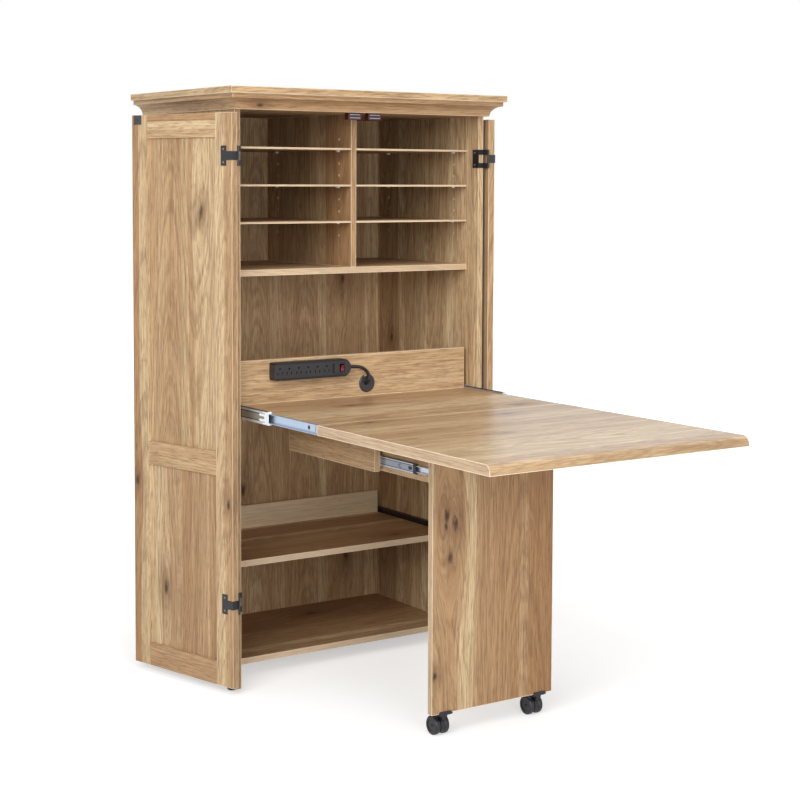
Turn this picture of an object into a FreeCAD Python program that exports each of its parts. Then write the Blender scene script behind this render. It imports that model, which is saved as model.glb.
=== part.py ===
import FreeCAD, Part
import math
import os
import Sketcher

# Computer armoire, shown open: doors folded back, worktop pulled out, leaf up and support leg out.
# Millimetres, +X to the right, +Y to the wall, +Z up, origin on the floor under the middle of the
# open piece.

Vector = FreeCAD.Vector
doc = FreeCAD.newDocument("computer_armoire")
sheet = doc.addObject("Spreadsheet::Sheet", "dims")
X_AXIS = Vector(1, 0, 0)
Y_AXIS = Vector(0, 1, 0)
Z_AXIS = Vector(0, 0, 1)
LEFT = -1
RIGHT = 1
SIDES = (("left", LEFT), ("right", RIGHT))

# How a sketch numbers an edge's points, and its own two axes
START, END, CENTRE = range(1, 4)
LEVEL_AXIS, UPRIGHT_AXIS = (-1, -2)


class Size:
    """A length, as a number and as the formula that binds it to the sheet."""

    def __init__(self, value, text):
        self.value = value
        self.text = text

    def __add__(self, other):
        return combine(self, "+", other, self.value + number(other))

    def __sub__(self, other):
        return combine(self, "-", other, self.value - number(other))

    def __mul__(self, other):
        return combine(self, "*", other, self.value * number(other))

    def __truediv__(self, other):
        return combine(self, "/", other, self.value / number(other))

    def __neg__(self):
        return Size(-self.value, "(0 - %s)" % self.text)


def number(item):
    return item.value if isinstance(item, Size) else item


def formula(item):
    return item.text if isinstance(item, Size) else repr(item)


def combine(first, sign, second, value):
    return Size(value, "(%s %s %s)" % (formula(first), sign, formula(second)))


cell_count = 0


def dim(alias, value):
    """Write one driving dimension into the sheet."""
    global cell_count
    cell_count += 1
    cell = "B%d" % cell_count
    sheet.set("A%d" % cell_count, alias)
    sheet.set(cell, str(value))
    sheet.setAlias(cell, alias)
    return Size(value, "dims." + alias)


ZERO = Size(0, "0")

# Carcass
total_height = dim("total_height", 1538.0)
inside_width = dim("inside_width", 743.0)
side_thick = dim("side_thick", 16.0)
side_depth = dim("side_depth", 500.0)
panel_thick = dim("panel_thick", 16.0)
back_thick = dim("back_thick", 4.0)
back_inset = dim("back_inset", 2.0)
top_thick = dim("top_thick", 17.0)
top_lip = dim("top_lip", 8.0)
top_rear = dim("top_rear", 16.0)
cove_radius = dim("cove_radius", 27.0)
fillet_height = dim("fillet_height", 11.5)
foot_front = dim("foot_front", 22.0)
foot_side = dim("foot_side", 4.0)
glide_height = dim("glide_height", 10.0)
glide_radius = dim("glide_radius", 12.0)
glide_inset = dim("glide_inset", 36.0)
bottom_rise = dim("bottom_rise", 40.5)
bottom_setback = dim("bottom_setback", 97.0)
cut_overrun = dim("cut_overrun", 5.0)

# Upper shelves
shelf_setback = dim("shelf_setback", 54.0)
fixed_shelf_rise = dim("fixed_shelf_rise", 1061.0)
small_shelf_thick = dim("small_shelf_thick", 5.0)
small_shelf_play = dim("small_shelf_play", 1.0)
small_shelf_back_gap = dim("small_shelf_back_gap", 8.0)
cubby_extra = dim("cubby_extra", 21.5)
cubby_count = 4
holes_per_cubby = 3
hole_radius = dim("hole_radius", 2.5)
hole_inset = dim("hole_inset", 59.5)
hole_depth = dim("hole_depth", 10.0)
pin_radius = dim("pin_radius", 2.4)
pin_depth = dim("pin_depth", 7.5)
pin_collar = dim("pin_collar", 2.0)
tongue_reach = dim("tongue_reach", 9.0)
tongue_width = dim("tongue_width", 9.0)
tongue_thick = dim("tongue_thick", 1.5)
catch_width = dim("catch_width", 40.0)
catch_height = dim("catch_height", 18.0)
catch_depth = dim("catch_depth", 18.0)
catch_spacing = dim("catch_spacing", 62.0)
pole_thick = dim("pole_thick", 1.5)
pole_reach = dim("pole_reach", 1.0)
pole_inset = dim("pole_inset", 4.0)

# Lower shelf
lower_setback = dim("lower_setback", 113.0)
lower_rise = dim("lower_rise", 295.0)
lower_back_gap = dim("lower_back_gap", 8.0)
stop_height = dim("stop_height", 65.0)
stop_thick = dim("stop_thick", 12.0)
runner_width = dim("runner_width", 12.7)
runner_height = dim("runner_height", 30.0)
runner_above = dim("runner_above", 15.0)
runner_wall = dim("runner_wall", 2.0)

# Doors
door_thick = dim("door_thick", 17.5)
door_gap = dim("door_gap", 2.5)
door_edge_inset = dim("door_edge_inset", 1.5)
door_middle_gap = dim("door_middle_gap", 2.0)
door_rise = dim("door_rise", 21.0)
door_top_gap = dim("door_top_gap", 8.0)
stile_width = dim("stile_width", 61.0)
rail_width = dim("rail_width", 61.0)
middle_rail_rise = dim("middle_rail_rise", 559.5)
door_panel_thick = dim("door_panel_thick", 6.0)
groove_depth = dim("groove_depth", 8.0)
groove_play = dim("groove_play", 0.2)
strike_width = dim("strike_width", 30.0)
strike_height = dim("strike_height", 23.5)
strike_thick = dim("strike_thick", 1.2)
strike_inset = dim("strike_inset", 8.0)
strike_drop = dim("strike_drop", 1.0)
handle_spacing = dim("handle_spacing", 128.0)
handle_inset = dim("handle_inset", 27.0)
handle_rise = dim("handle_rise", 786.0)
handle_radius = dim("handle_radius", 4.0)
handle_reach = dim("handle_reach", 22.0)
handle_overhang = dim("handle_overhang", 12.0)
open_degrees = 256

# Door hinges
hinge_height = dim("hinge_height", 50.0)
hinge_top_drop = dim("hinge_top_drop", 82.5)
hinge_bottom_rise = dim("hinge_bottom_rise", 188.5)
leaf_metal = dim("leaf_metal", 1.5)
strap_height = dim("strap_height", 22.0)
barrel_radius = dim("barrel_radius", 3.0)
barrel_gap = dim("barrel_gap", 0.3)
barrel_out = dim("barrel_out", 2.6)
barrel_front = dim("barrel_front", 2.2)
hinge_pin_radius = dim("hinge_pin_radius", 1.5)
hinge_pin_play = dim("hinge_pin_play", 0.06)
arm_clearance = dim("arm_clearance", 0.4)
door_plate_width = dim("door_plate_width", 19.0)
door_plate_inset = dim("door_plate_inset", 20.0)
frame_plate_width = dim("frame_plate_width", 25.0)

# Worktop and its slides
worktop_height = dim("worktop_height", 732.0)
worktop_thick = dim("worktop_thick", 24.0)
seam_reach = dim("seam_reach", 365.5)
seam_gap = dim("seam_gap", 1.2)
leaf_depth = dim("leaf_depth", 672.0)
leaf_side_gap = dim("leaf_side_gap", 2.7)
leaf_round = dim("leaf_round", 20.0)
board_setback = dim("board_setback", 43.7)
board_height = dim("board_height", 113.0)
slide_thick = dim("slide_thick", 12.7)
slide_wall = dim("slide_wall", 1.2)
slide_play = dim("slide_play", 0.4)
slide_middle_height = dim("slide_middle_height", 33.2)
slide_inner_height = dim("slide_inner_height", 24.0)
slide_setback = dim("slide_setback", 38.0)
slide_length = dim("slide_length", 400.0)
slide_middle_reach = dim("slide_middle_reach", 131.0)
slide_middle_length = dim("slide_middle_length", 370.0)
slide_inner_inset = dim("slide_inner_inset", 6.0)
slide_screw_radius = dim("slide_screw_radius", 2.6)
slide_screw_inset = dim("slide_screw_inset", 45.0)
slide_screw_pitch = dim("slide_screw_pitch", 160.0)
slide_screw_count = 3
slide_slot_inset = dim("slide_slot_inset", 12.0)
slide_slot_width = dim("slide_slot_width", 4.0)
slide_slot_height = dim("slide_slot_height", 13.0)
leaf_hinge_width = dim("leaf_hinge_width", 30.0)
leaf_hinge_length = dim("leaf_hinge_length", 60.0)
leaf_hinge_inset = dim("leaf_hinge_inset", 14.0)
leaf_knuckles = 3

# Support leg and casters
apron_height = dim("apron_height", 102.0)
apron_rear_inset = dim("apron_rear_inset", 20.0)
leg_width = dim("leg_width", 360.0)
leg_thick = dim("leg_thick", 16.5)
leg_reach = dim("leg_reach", 571.0)
leg_rise = dim("leg_rise", 57.0)
leg_top_play = dim("leg_top_play", 0.3)
arm_height = dim("arm_height", 85.0)
arm_length = dim("arm_length", 400.0)
leg_slide_thick = dim("leg_slide_thick", 10.0)
leg_slide_middle_height = dim("leg_slide_middle_height", 23.4)
leg_slide_inner_height = dim("leg_slide_inner_height", 15.5)
leg_slide_rise = dim("leg_slide_rise", 26.0)
leg_slide_length = dim("leg_slide_length", 300.0)
leg_slide_middle_length = dim("leg_slide_middle_length", 270.0)
leg_slide_middle_reach = dim("leg_slide_middle_reach", 480.0)
caster_inset = dim("caster_inset", 39.0)
caster_trail = dim("caster_trail", 22.0)
caster_plate_width = dim("caster_plate_width", 44.0)
caster_plate_thick = dim("caster_plate_thick", 4.0)
caster_lip_width = dim("caster_lip_width", 36.0)
caster_lip_height = dim("caster_lip_height", 9.0)
caster_lip_thick = dim("caster_lip_thick", 2.5)
wheel_radius = dim("wheel_radius", 23.0)
wheel_width = dim("wheel_width", 14.0)
wheel_round = dim("wheel_round", 4.0)
wheel_gap = dim("wheel_gap", 0.5)
hub_radius = dim("hub_radius", 15.0)
hub_recess = dim("hub_recess", 1.5)
web_width = dim("web_width", 10.0)
hood_radius = dim("hood_radius", 22.4)
hood_clear = dim("hood_clear", 7.0)
neck_height = dim("neck_height", 9.0)
axle_radius = dim("axle_radius", 3.0)
king_radius = dim("king_radius", 4.0)
king_depth = dim("king_depth", 3.0)
turn_play = dim("turn_play", 0.06)
swivel_radius = dim("swivel_radius", 10.0)
swivel_gap = dim("swivel_gap", 0.4)

# Power strip, switch, grommet and cord
strip_length = dim("strip_length", 232.0)
strip_height = dim("strip_height", 46.0)
strip_depth = dim("strip_depth", 28.0)
strip_corner = dim("strip_corner", 6.0)
strip_end = dim("strip_end", 31.5)
strip_rise = dim("strip_rise", 59.5)
outlet_count = 6
outlet_pitch = dim("outlet_pitch", 28.3)
outlet_first = dim("outlet_first", 15.5)
outlet_depth = dim("outlet_depth", 12.0)
earth_radius = dim("earth_radius", 2.4)
earth_rise = dim("earth_rise", 7.0)
slot_width = dim("slot_width", 2.2)
slot_height = dim("slot_height", 6.8)
slot_spread = dim("slot_spread", 12.7)
slot_drop = dim("slot_drop", 5.0)
block_width = dim("block_width", 16.0)
block_height = dim("block_height", 24.0)
block_reach = dim("block_reach", 5.0)
block_start = dim("block_start", 177.5)
rocker_width = dim("rocker_width", 10.5)
rocker_height = dim("rocker_height", 18.0)
rocker_depth = dim("rocker_depth", 10.0)
rocker_reach = dim("rocker_reach", 3.0)
rocker_play = dim("rocker_play", 1.2)
rocker_start = dim("rocker_start", 198.7)
rocker_well_depth = dim("rocker_well_depth", 15.0)
bezel_depth = dim("bezel_depth", 1.5)
bezel_side = dim("bezel_side", 3.0)
bezel_end = dim("bezel_end", 5.5)
rocker_pivot_radius = dim("rocker_pivot_radius", 1.5)
rocker_pivot_reach = dim("rocker_pivot_reach", 3.0)
rocker_degrees = 8
cord_headings = (8, 41)
corner_share = 0.45
grommet_place = dim("grommet_place", 36.5)
grommet_rise = dim("grommet_rise", 33.5)
grommet_radius = dim("grommet_radius", 25.0)
grommet_lip = dim("grommet_lip", 3.0)
grommet_sleeve_radius = dim("grommet_sleeve_radius", 19.0)
cord_radius = dim("cord_radius", 4.6)
cord_play = dim("cord_play", 0.3)
cord_exit = dim("cord_exit", 14.0)
cord_stand = dim("cord_stand", 18.0)
cord_hole_offset = dim("cord_hole_offset", 5.0)
gland_radius = dim("gland_radius", 7.0)
gland_reach = dim("gland_reach", 3.0)

# Places worked out from the driving dimensions
inside_half = inside_width / 2
outside_half = inside_half + side_thick
leaf_reach = seam_reach + leaf_depth
front = (leaf_reach - side_depth - top_rear) / 2
rear = front + side_depth
side_top = total_height - top_thick
cornice_rise = side_top - cove_radius - fillet_height
ceiling_top = cornice_rise + panel_thick
shelf_front = front + shelf_setback
fixed_shelf_top = fixed_shelf_rise + panel_thick
divider_half = panel_thick / 2
cubby_pitch = (cornice_rise - fixed_shelf_top - cubby_extra) / cubby_count
hole_pitch = cubby_pitch / holes_per_cubby
worktop_under = worktop_height - worktop_thick
worktop_half = inside_half - slide_thick
board_front = front + board_setback
board_rear = board_front + panel_thick
seam = front - seam_reach
slide_level = worktop_height - worktop_thick / 2
leg_half = leg_width / 2
leg_front = front - leg_reach
leg_rear = leg_front + leg_thick
apron_inside = leg_half + leg_slide_thick
apron_under = worktop_under - apron_height
apron_front = seam + seam_gap
leg_slide_level = apron_under + leg_slide_rise
door_edge = outside_half - door_edge_inset
door_width = door_edge - door_middle_gap / 2
door_top = cornice_rise - door_top_gap
door_inner = front - door_gap
door_outer = door_inner - door_thick
pin_x = door_edge + barrel_out
pin_y = door_outer - barrel_front
hinge_rises = (door_top - hinge_top_drop - hinge_height, door_rise + hinge_bottom_rise)


def box(name, x, y, z):
    """A block from a low and a high place along each axis."""
    block = doc.addObject("Part::Box", name)
    for size, axis, (low, high) in zip(("Length", "Width", "Height"), "xyz", (x, y, z)):
        block.setExpression(size, (high - low).text)
        block.setExpression("Placement.Base." + axis, low.text)
    return block


def on_side(side, low, high):
    """A span across the width, mirrored for the left-hand side."""
    return (low, high) if side == RIGHT else (-high, -low)


def rod(name, radius, length, base, axis):
    """A cylinder that starts at base and runs along axis."""
    cylinder = doc.addObject("Part::Cylinder", name)
    cylinder.setExpression("Radius", radius.text)
    cylinder.setExpression("Height", length.text)
    cylinder.Placement = FreeCAD.Placement(point(*base), FreeCAD.Rotation(Z_AXIS, axis))
    return cylinder


def point(x, y, z):
    return Vector(number(x), number(y), number(z))


def fused(name, pieces):
    union = doc.addObject("Part::MultiFuse", name)
    union.Shapes = pieces
    union.Refine = True
    return union


def cut(name, base, tool):
    result = doc.addObject("Part::Cut", name)
    result.Base = base
    result.Tool = tool
    return result


def group(name, pieces):
    compound = doc.addObject("Part::Compound", name)
    compound.Links = pieces
    return compound


def facing(across, up):
    """The turn that lays a sketch's own x along across and its y along up."""
    return FreeCAD.Rotation(across, up, across.cross(up), "XYZ")


def origin_plane(body, role):
    return next(item for item in body.Origin.OriginFeatures if item.Role == role)


def sketch_outline(body, name, points, arcs):
    """A closed outline, every corner tied to the sheet.

    arcs maps a corner's number to the radius, the centre's two places and whether the arc starts there.
    """
    sketch = body.newObject("Sketcher::SketchObject", name)
    sketch.AttachmentSupport = [(origin_plane(body, "XY_Plane"), "")]
    sketch.MapMode = "FlatFace"
    places = [point(x, y, ZERO) for x, y in points]
    count = len(places)
    ends = []
    for index in range(count):
        start = places[index]
        finish = places[(index + 1) % count]
        if index in arcs:
            radius, centre_x, centre_y, starts_here = arcs[index]
            circle = Part.Circle(point(centre_x, centre_y, ZERO), Z_AXIS, radius.value)
            first = circle.parameter(start if starts_here else finish)
            last = circle.parameter(finish if starts_here else start)
            sketch.addGeometry(Part.ArcOfCircle(circle, first, last))
            ends.append((START, END) if starts_here else (END, START))
        else:
            sketch.addGeometry(Part.LineSegment(start, finish))
            ends.append((START, END))
    for index in range(count):
        following = (index + 1) % count
        joint = Sketcher.Constraint("Coincident", index, ends[index][1], following, ends[following][0])
        sketch.addConstraint(joint)
    for index, (x, y) in enumerate(points):
        for kind, place, datum_axis in (("DistanceX", x, UPRIGHT_AXIS), ("DistanceY", y, LEVEL_AXIS)):
            if place.value == 0:
                sketch.addConstraint(Sketcher.Constraint("PointOnObject", index, ends[index][0], datum_axis))
            else:
                tie = Sketcher.Constraint(kind, index, ends[index][0], place.value)
                sketch.setExpression("Constraints[%d]" % sketch.addConstraint(tie), place.text)
    for index, arc in arcs.items():
        centre_x = arc[1]
        tie = Sketcher.Constraint("DistanceX", index, CENTRE, centre_x.value)
        sketch.setExpression("Constraints[%d]" % sketch.addConstraint(tie), centre_x.text)
    return sketch


def pad(name, points, length, base, turn, arcs=None):
    """A body whose outline is padded along its own z, then laid in place."""
    body = doc.addObject("PartDesign::Body", name)
    sketch = sketch_outline(body, name + "_outline", points, arcs or {})
    feature = body.newObject("PartDesign::Pad", name + "_pad")
    feature.Profile = sketch
    feature.setExpression("Length", length.text)
    sketch.Visibility = False
    body.Placement = FreeCAD.Placement(point(*base), turn)
    return body


def turned(name, points, base, turn, arcs=None):
    """A body turned about its own y axis, then laid in place."""
    body = doc.addObject("PartDesign::Body", name)
    sketch = sketch_outline(body, name + "_outline", points, arcs or {})
    feature = body.newObject("PartDesign::Revolution", name + "_turn")
    feature.Profile = sketch
    feature.ReferenceAxis = (sketch, ["V_Axis"])
    body.Placement = FreeCAD.Placement(point(*base), turn)
    return body


nodes = {}


def node(name, item):
    """Name a finished sub-part."""
    item.Label = name
    nodes[name] = item
    return item


def channel(depth, height, wall, flange, opens_out):
    """A folded steel section, its open side away from or towards the sketch's y axis."""
    if opens_out:
        return [(ZERO, ZERO), (depth, ZERO), (depth, flange), (wall, flange),
                (wall, height - flange), (depth, height - flange), (depth, height), (ZERO, height)]
    web = depth - wall
    return [(ZERO, ZERO), (depth, ZERO), (depth, height), (ZERO, height),
            (ZERO, height - flange), (web, height - flange), (web, flange), (ZERO, flange)]


def channel_pair(name, section, wall_at, level, height, start, length):
    """The left and right members of one slide, their sections drawn from wall_at to the middle."""
    members = []
    for label, side in SIDES:
        base_y = start if side == RIGHT else start + length
        base = (wall_at * side, base_y, level - height / 2)
        turn = facing(X_AXIS * -side, Z_AXIS)
        members.append(pad("%s_%s" % (name, label), section, length, base, turn))
    return group(name + "_group", members)


def pin_levels():
    """The pin height of each small shelf, from the top down."""
    return [cornice_rise - cubby_pitch * shelf - pin_radius for shelf in range(1, cubby_count)]


def pin_rows():
    """How far back the two rows of pin holes stand."""
    return (shelf_front + hole_inset, rear - hole_inset)


def drilled(name, panel, start_x, depth):
    """A panel with its rows of shelf-pin holes, drilled along +X from start_x."""
    tools = []
    for row_index, row in enumerate(pin_rows()):
        for shelf_index, level in enumerate(pin_levels()):
            for step in (LEFT, 0, RIGHT):
                hole_name = "%s_hole_%d_%d_%d" % (name, row_index, shelf_index, step + 1)
                base = (start_x, row, level + hole_pitch * step)
                tools.append(rod(hole_name, hole_radius, depth, base, X_AXIS))
    return cut(name, panel, group(name + "_holes", tools))


def make_carcass():
    span = (front, rear)
    for label, side in SIDES:
        name = "side_" + label
        across = on_side(side, inside_half, outside_half)
        panel = box(name + "_board", across, span, (glide_height, side_top))
        start = inside_half if side == RIGHT else -inside_half - hole_depth
        node(name, drilled(name + "_drilled", panel, start, hole_depth))
    top_half = outside_half + foot_side + cove_radius + top_lip
    top_front = front - foot_front - cove_radius - top_lip
    top_span = (top_front, rear + top_rear)
    node("top_board", box("top", (-top_half, top_half), top_span, (side_top, total_height)))
    inside = (-inside_half, inside_half)
    node("ceiling_panel", box("ceiling", inside, span, (cornice_rise, ceiling_top)))
    node("fixed_shelf", box("fixed", inside, (shelf_front, rear), (fixed_shelf_rise, fixed_shelf_top)))
    bottom_span = (front + bottom_setback, rear)
    node("bottom_panel", box("bottom", inside, bottom_span, (bottom_rise, bottom_rise + panel_thick)))
    back_half = outside_half - back_inset
    back_span = (rear, rear + back_thick)
    node("back_panel", box("back", (-back_half, back_half), back_span, (bottom_rise, side_top)))
    upright = box("divider_board", (-divider_half, divider_half), (shelf_front, rear),
                  (fixed_shelf_top, cornice_rise))
    node("divider", drilled("divider_drilled", upright, -divider_half, panel_thick))


def make_cornice():
    rise = cove_radius + fillet_height
    run = top_rear + side_depth + foot_front + cove_radius
    tip = outside_half + foot_side + cove_radius
    reach = foot_front + cove_radius

    def section(foot):
        lip = foot + cove_radius
        return [(ZERO, ZERO), (foot, ZERO), (lip, cove_radius), (lip, rise), (ZERO, rise)]

    def cove(foot):
        return {1: (cove_radius, foot + cove_radius, ZERO, False)}

    def corner(name, side, points):
        """A prism over one front corner, drawn from the corner of the side panel."""
        turn = facing(X_AXIS * side, -Y_AXIS)
        level = cornice_rise - cut_overrun
        height = rise + cut_overrun * 2
        base_z = level if turn.multVec(Z_AXIS).z > 0 else level + height
        return pad(name, points, height, (outside_half * side, front, base_z), turn)

    past_side = foot_side + cove_radius + cut_overrun
    past_front = reach + cut_overrun
    mitre = [(ZERO, ZERO), (foot_side, foot_front), (past_side, past_front)]
    rail = pad("cornice_front_rail", section(foot_front), tip * 2, (tip, front, cornice_rise),
               facing(-Y_AXIS, Z_AXIS), cove(foot_front))
    ends = []
    for label, side in SIDES:
        past_tip = past_side + cut_overrun
        ends.append(corner("mitre_" + label, side, mitre + [(past_tip, past_front), (past_tip, ZERO)]))
    node("cornice_front", cut("cornice_front_cut", rail, group("mitres", ends)))
    for label, side in SIDES:
        turn = facing(X_AXIS * side, Z_AXIS)
        base_y = front - reach if turn.multVec(Z_AXIS).y > 0 else rear + top_rear
        rail = pad("cornice_%s_rail" % label, section(foot_side), run,
                   (outside_half * side, base_y, cornice_rise), turn, cove(foot_side))
        waste = corner("waste_" + label, side, mitre + [(ZERO, past_front)])
        node("cornice_" + label, cut("cornice_%s_cut" % label, rail, waste))


def make_pin(tag, side, wall, way, row, level):
    """A spoon pin: a peg in the wall's hole and a flat tongue under the shelf, on the way side."""
    peg_ends = (wall - pin_depth * way, wall + pin_collar * way)
    tongue_ends = (wall, wall + tongue_reach * way)
    peg_low, peg_high = peg_ends if way == RIGHT else peg_ends[::-1]
    tongue_low, tongue_high = tongue_ends if way == RIGHT else tongue_ends[::-1]
    start = on_side(side, peg_low, peg_high)[0]
    peg = rod("peg_" + tag, pin_radius, pin_depth + pin_collar, (start, row, level), X_AXIS)
    under = level + pin_radius
    tongue = box("tongue_" + tag, on_side(side, tongue_low, tongue_high),
                 (row - tongue_width / 2, row + tongue_width / 2), (under - tongue_thick, under))
    return fused("pin_" + tag, [peg, tongue])


def make_small_shelves():
    back = rear - small_shelf_back_gap
    pins = []
    for label, side in SIDES:
        shelves = []
        low = divider_half + small_shelf_play
        high = inside_half - small_shelf_play
        for index, level in enumerate(pin_levels()):
            under = level + pin_radius
            name = "small_shelf_%s_%d" % (label, index)
            thick = (under, under + small_shelf_thick)
            shelves.append(box(name, on_side(side, low, high), (shelf_front, back), thick))
            for row_index, row in enumerate(pin_rows()):
                tag = "%s_%d_%d" % (label, index, row_index)
                pins.append(make_pin("outer_" + tag, side, inside_half, LEFT, row, level))
                pins.append(make_pin("inner_" + tag, side, divider_half, RIGHT, row, level))
        node("small_shelves_" + label, group("small_shelves_group_" + label, shelves))
    node("shelf_pins", group("shelf_pins_group", pins))


def make_catches():
    bodies = []
    poles = []
    for label, side in SIDES:
        middle = catch_spacing * side / 2
        x = (middle - catch_width / 2, middle + catch_width / 2)
        z = (cornice_rise - catch_height, cornice_rise)
        housing = box("catch_%s_block" % label, x, (front, front + catch_depth), z)
        level = cornice_rise - catch_height / 2
        slots = []
        for offset in (LEFT, RIGHT):
            low = level + pole_inset * offset - pole_thick / 2
            span = (x[0] + pole_inset, x[1] - pole_inset)
            tag = "%s_%d" % (label, offset + 1)
            back = front + catch_depth / 2
            band = (low, low + pole_thick)
            slots.append(box("slot_" + tag, span, (front - cut_overrun, back), band))
            poles.append(box("pole_" + tag, span, (front - pole_reach, back), band))
        bodies.append(cut("catch_%s_cut" % label, housing, group("slots_" + label, slots)))
    node("catch_housings", group("catch_group", bodies))
    node("catch_poles", group("pole_group", poles))


def make_lower_shelf():
    shelf_half = inside_half - runner_width
    low = front + lower_setback
    high = rear - lower_back_gap
    top = lower_rise + panel_thick
    node("lower_shelf", box("lower", (-shelf_half, shelf_half), (low, high), (lower_rise, top)))
    stop_span = (high - stop_thick, high)
    node("lower_stop", box("stop", (-shelf_half, shelf_half), stop_span, (top, top + stop_height)))
    section = channel(runner_width, runner_height, runner_wall, runner_wall, True)
    level = top + runner_above - runner_height / 2
    runners = channel_pair("lower_runners", section, inside_half, level, runner_height, low, high - low)
    node("lower_runners", runners)


def make_glides():
    feet = []
    foot_round = glide_height / 2
    outline = [(ZERO, ZERO), (glide_radius - foot_round, ZERO), (glide_radius, foot_round),
               (glide_radius, glide_height), (ZERO, glide_height)]
    rounding = {1: (foot_round, glide_radius - foot_round, foot_round, True)}
    for label, side in SIDES:
        for index, place in enumerate((front + glide_inset, rear - glide_inset)):
            base = ((inside_half + side_thick / 2) * side, place, ZERO)
            name = "glide_%s_%d" % (label, index)
            feet.append(turned(name, outline, base, facing(X_AXIS, Z_AXIS), rounding))
    node("glides", group("glide_group", feet))


def hinge_bands(low):
    """The heights of the lower arm, the strap and the upper arm of a hinge that starts at low."""
    arm = (hinge_height - strap_height) / 2
    strap_low = low + arm
    strap_high = strap_low + strap_height
    high = low + hinge_height
    return ((low, strap_low - barrel_gap), (strap_low, strap_high), (strap_high + barrel_gap, high))


def make_frame_leaves():
    arm_outer = door_edge + arm_clearance + leaf_metal
    leaves = []
    for label, side in SIDES:
        for index, low in enumerate(hinge_rises):
            tag = "%s_%d" % (label, index)
            full = (low, low + hinge_height)
            plate_x = on_side(side, inside_half - leaf_metal, inside_half)
            across_x = on_side(side, inside_half - leaf_metal, arm_outer)
            ahead_x = on_side(side, arm_outer - leaf_metal, arm_outer)
            plate_y = (front - leaf_metal, front + frame_plate_width)
            pieces = [box("frame_plate_" + tag, plate_x, plate_y, full)]
            bands = hinge_bands(low)
            for part, band in (("low", bands[0]), ("high", bands[-1])):
                name = "%s_%s" % (part, tag)
                pieces.append(box("arm_across_" + name, across_x, (front - leaf_metal, front), band))
                pieces.append(box("arm_ahead_" + name, ahead_x, (pin_y, front), band))
                base = (pin_x * side, pin_y, band[0])
                pieces.append(rod("frame_barrel_" + name, barrel_radius, band[1] - band[0], base, Z_AXIS))
            base = (pin_x * side, pin_y, low)
            pieces.append(rod("hinge_pin_" + tag, hinge_pin_radius, hinge_height, base, Z_AXIS))
            leaves.append(fused("frame_leaf_" + tag, pieces))
    node("hinge_frame_leaves", group("frame_leaf_group", leaves))


def make_door_leaf(side, tag, low):
    """The leaf that wraps the door's hinge edge, with the door closed."""
    strap = hinge_bands(low)[1]
    skin = (door_inner, door_inner + leaf_metal)
    plate_far = door_edge - door_plate_inset
    plate_x = on_side(side, plate_far - door_plate_width, plate_far)
    pieces = [box("door_plate_" + tag, plate_x, skin, (low, low + hinge_height))]
    pieces.append(box("strap_" + tag, on_side(side, plate_far, door_edge + leaf_metal), skin, strap))
    edge_x = on_side(side, door_edge, door_edge + leaf_metal)
    pieces.append(box("strap_edge_" + tag, edge_x, (pin_y, door_inner), strap))
    base = (pin_x * side, pin_y, strap[0])
    pieces.append(rod("door_barrel_" + tag, barrel_radius, strap_height, base, Z_AXIS))
    bore = rod("door_bore_" + tag, hinge_pin_radius + hinge_pin_play, strap_height, base, Z_AXIS)
    return cut("door_leaf_" + tag, fused("door_leaf_solid_" + tag, pieces), bore)


def make_handle(side, label):
    """A bar pull on two posts, on the outer face of the closed door."""
    place = door_middle_gap / 2 + handle_inset
    bar_y = door_outer - handle_reach
    low = handle_rise - handle_spacing / 2
    bar_base = (place * side, bar_y, low - handle_overhang)
    bar_length = handle_spacing + handle_overhang * 2
    pieces = [rod("handle_bar_" + label, handle_radius, bar_length, bar_base, Z_AXIS)]
    for index in range(2):
        base = (place * side, bar_y, low + handle_spacing * index)
        pieces.append(rod("handle_post_%s_%d" % (label, index), handle_radius, handle_reach, base, Y_AXIS))
    return fused("handle_solid_" + label, pieces)


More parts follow.
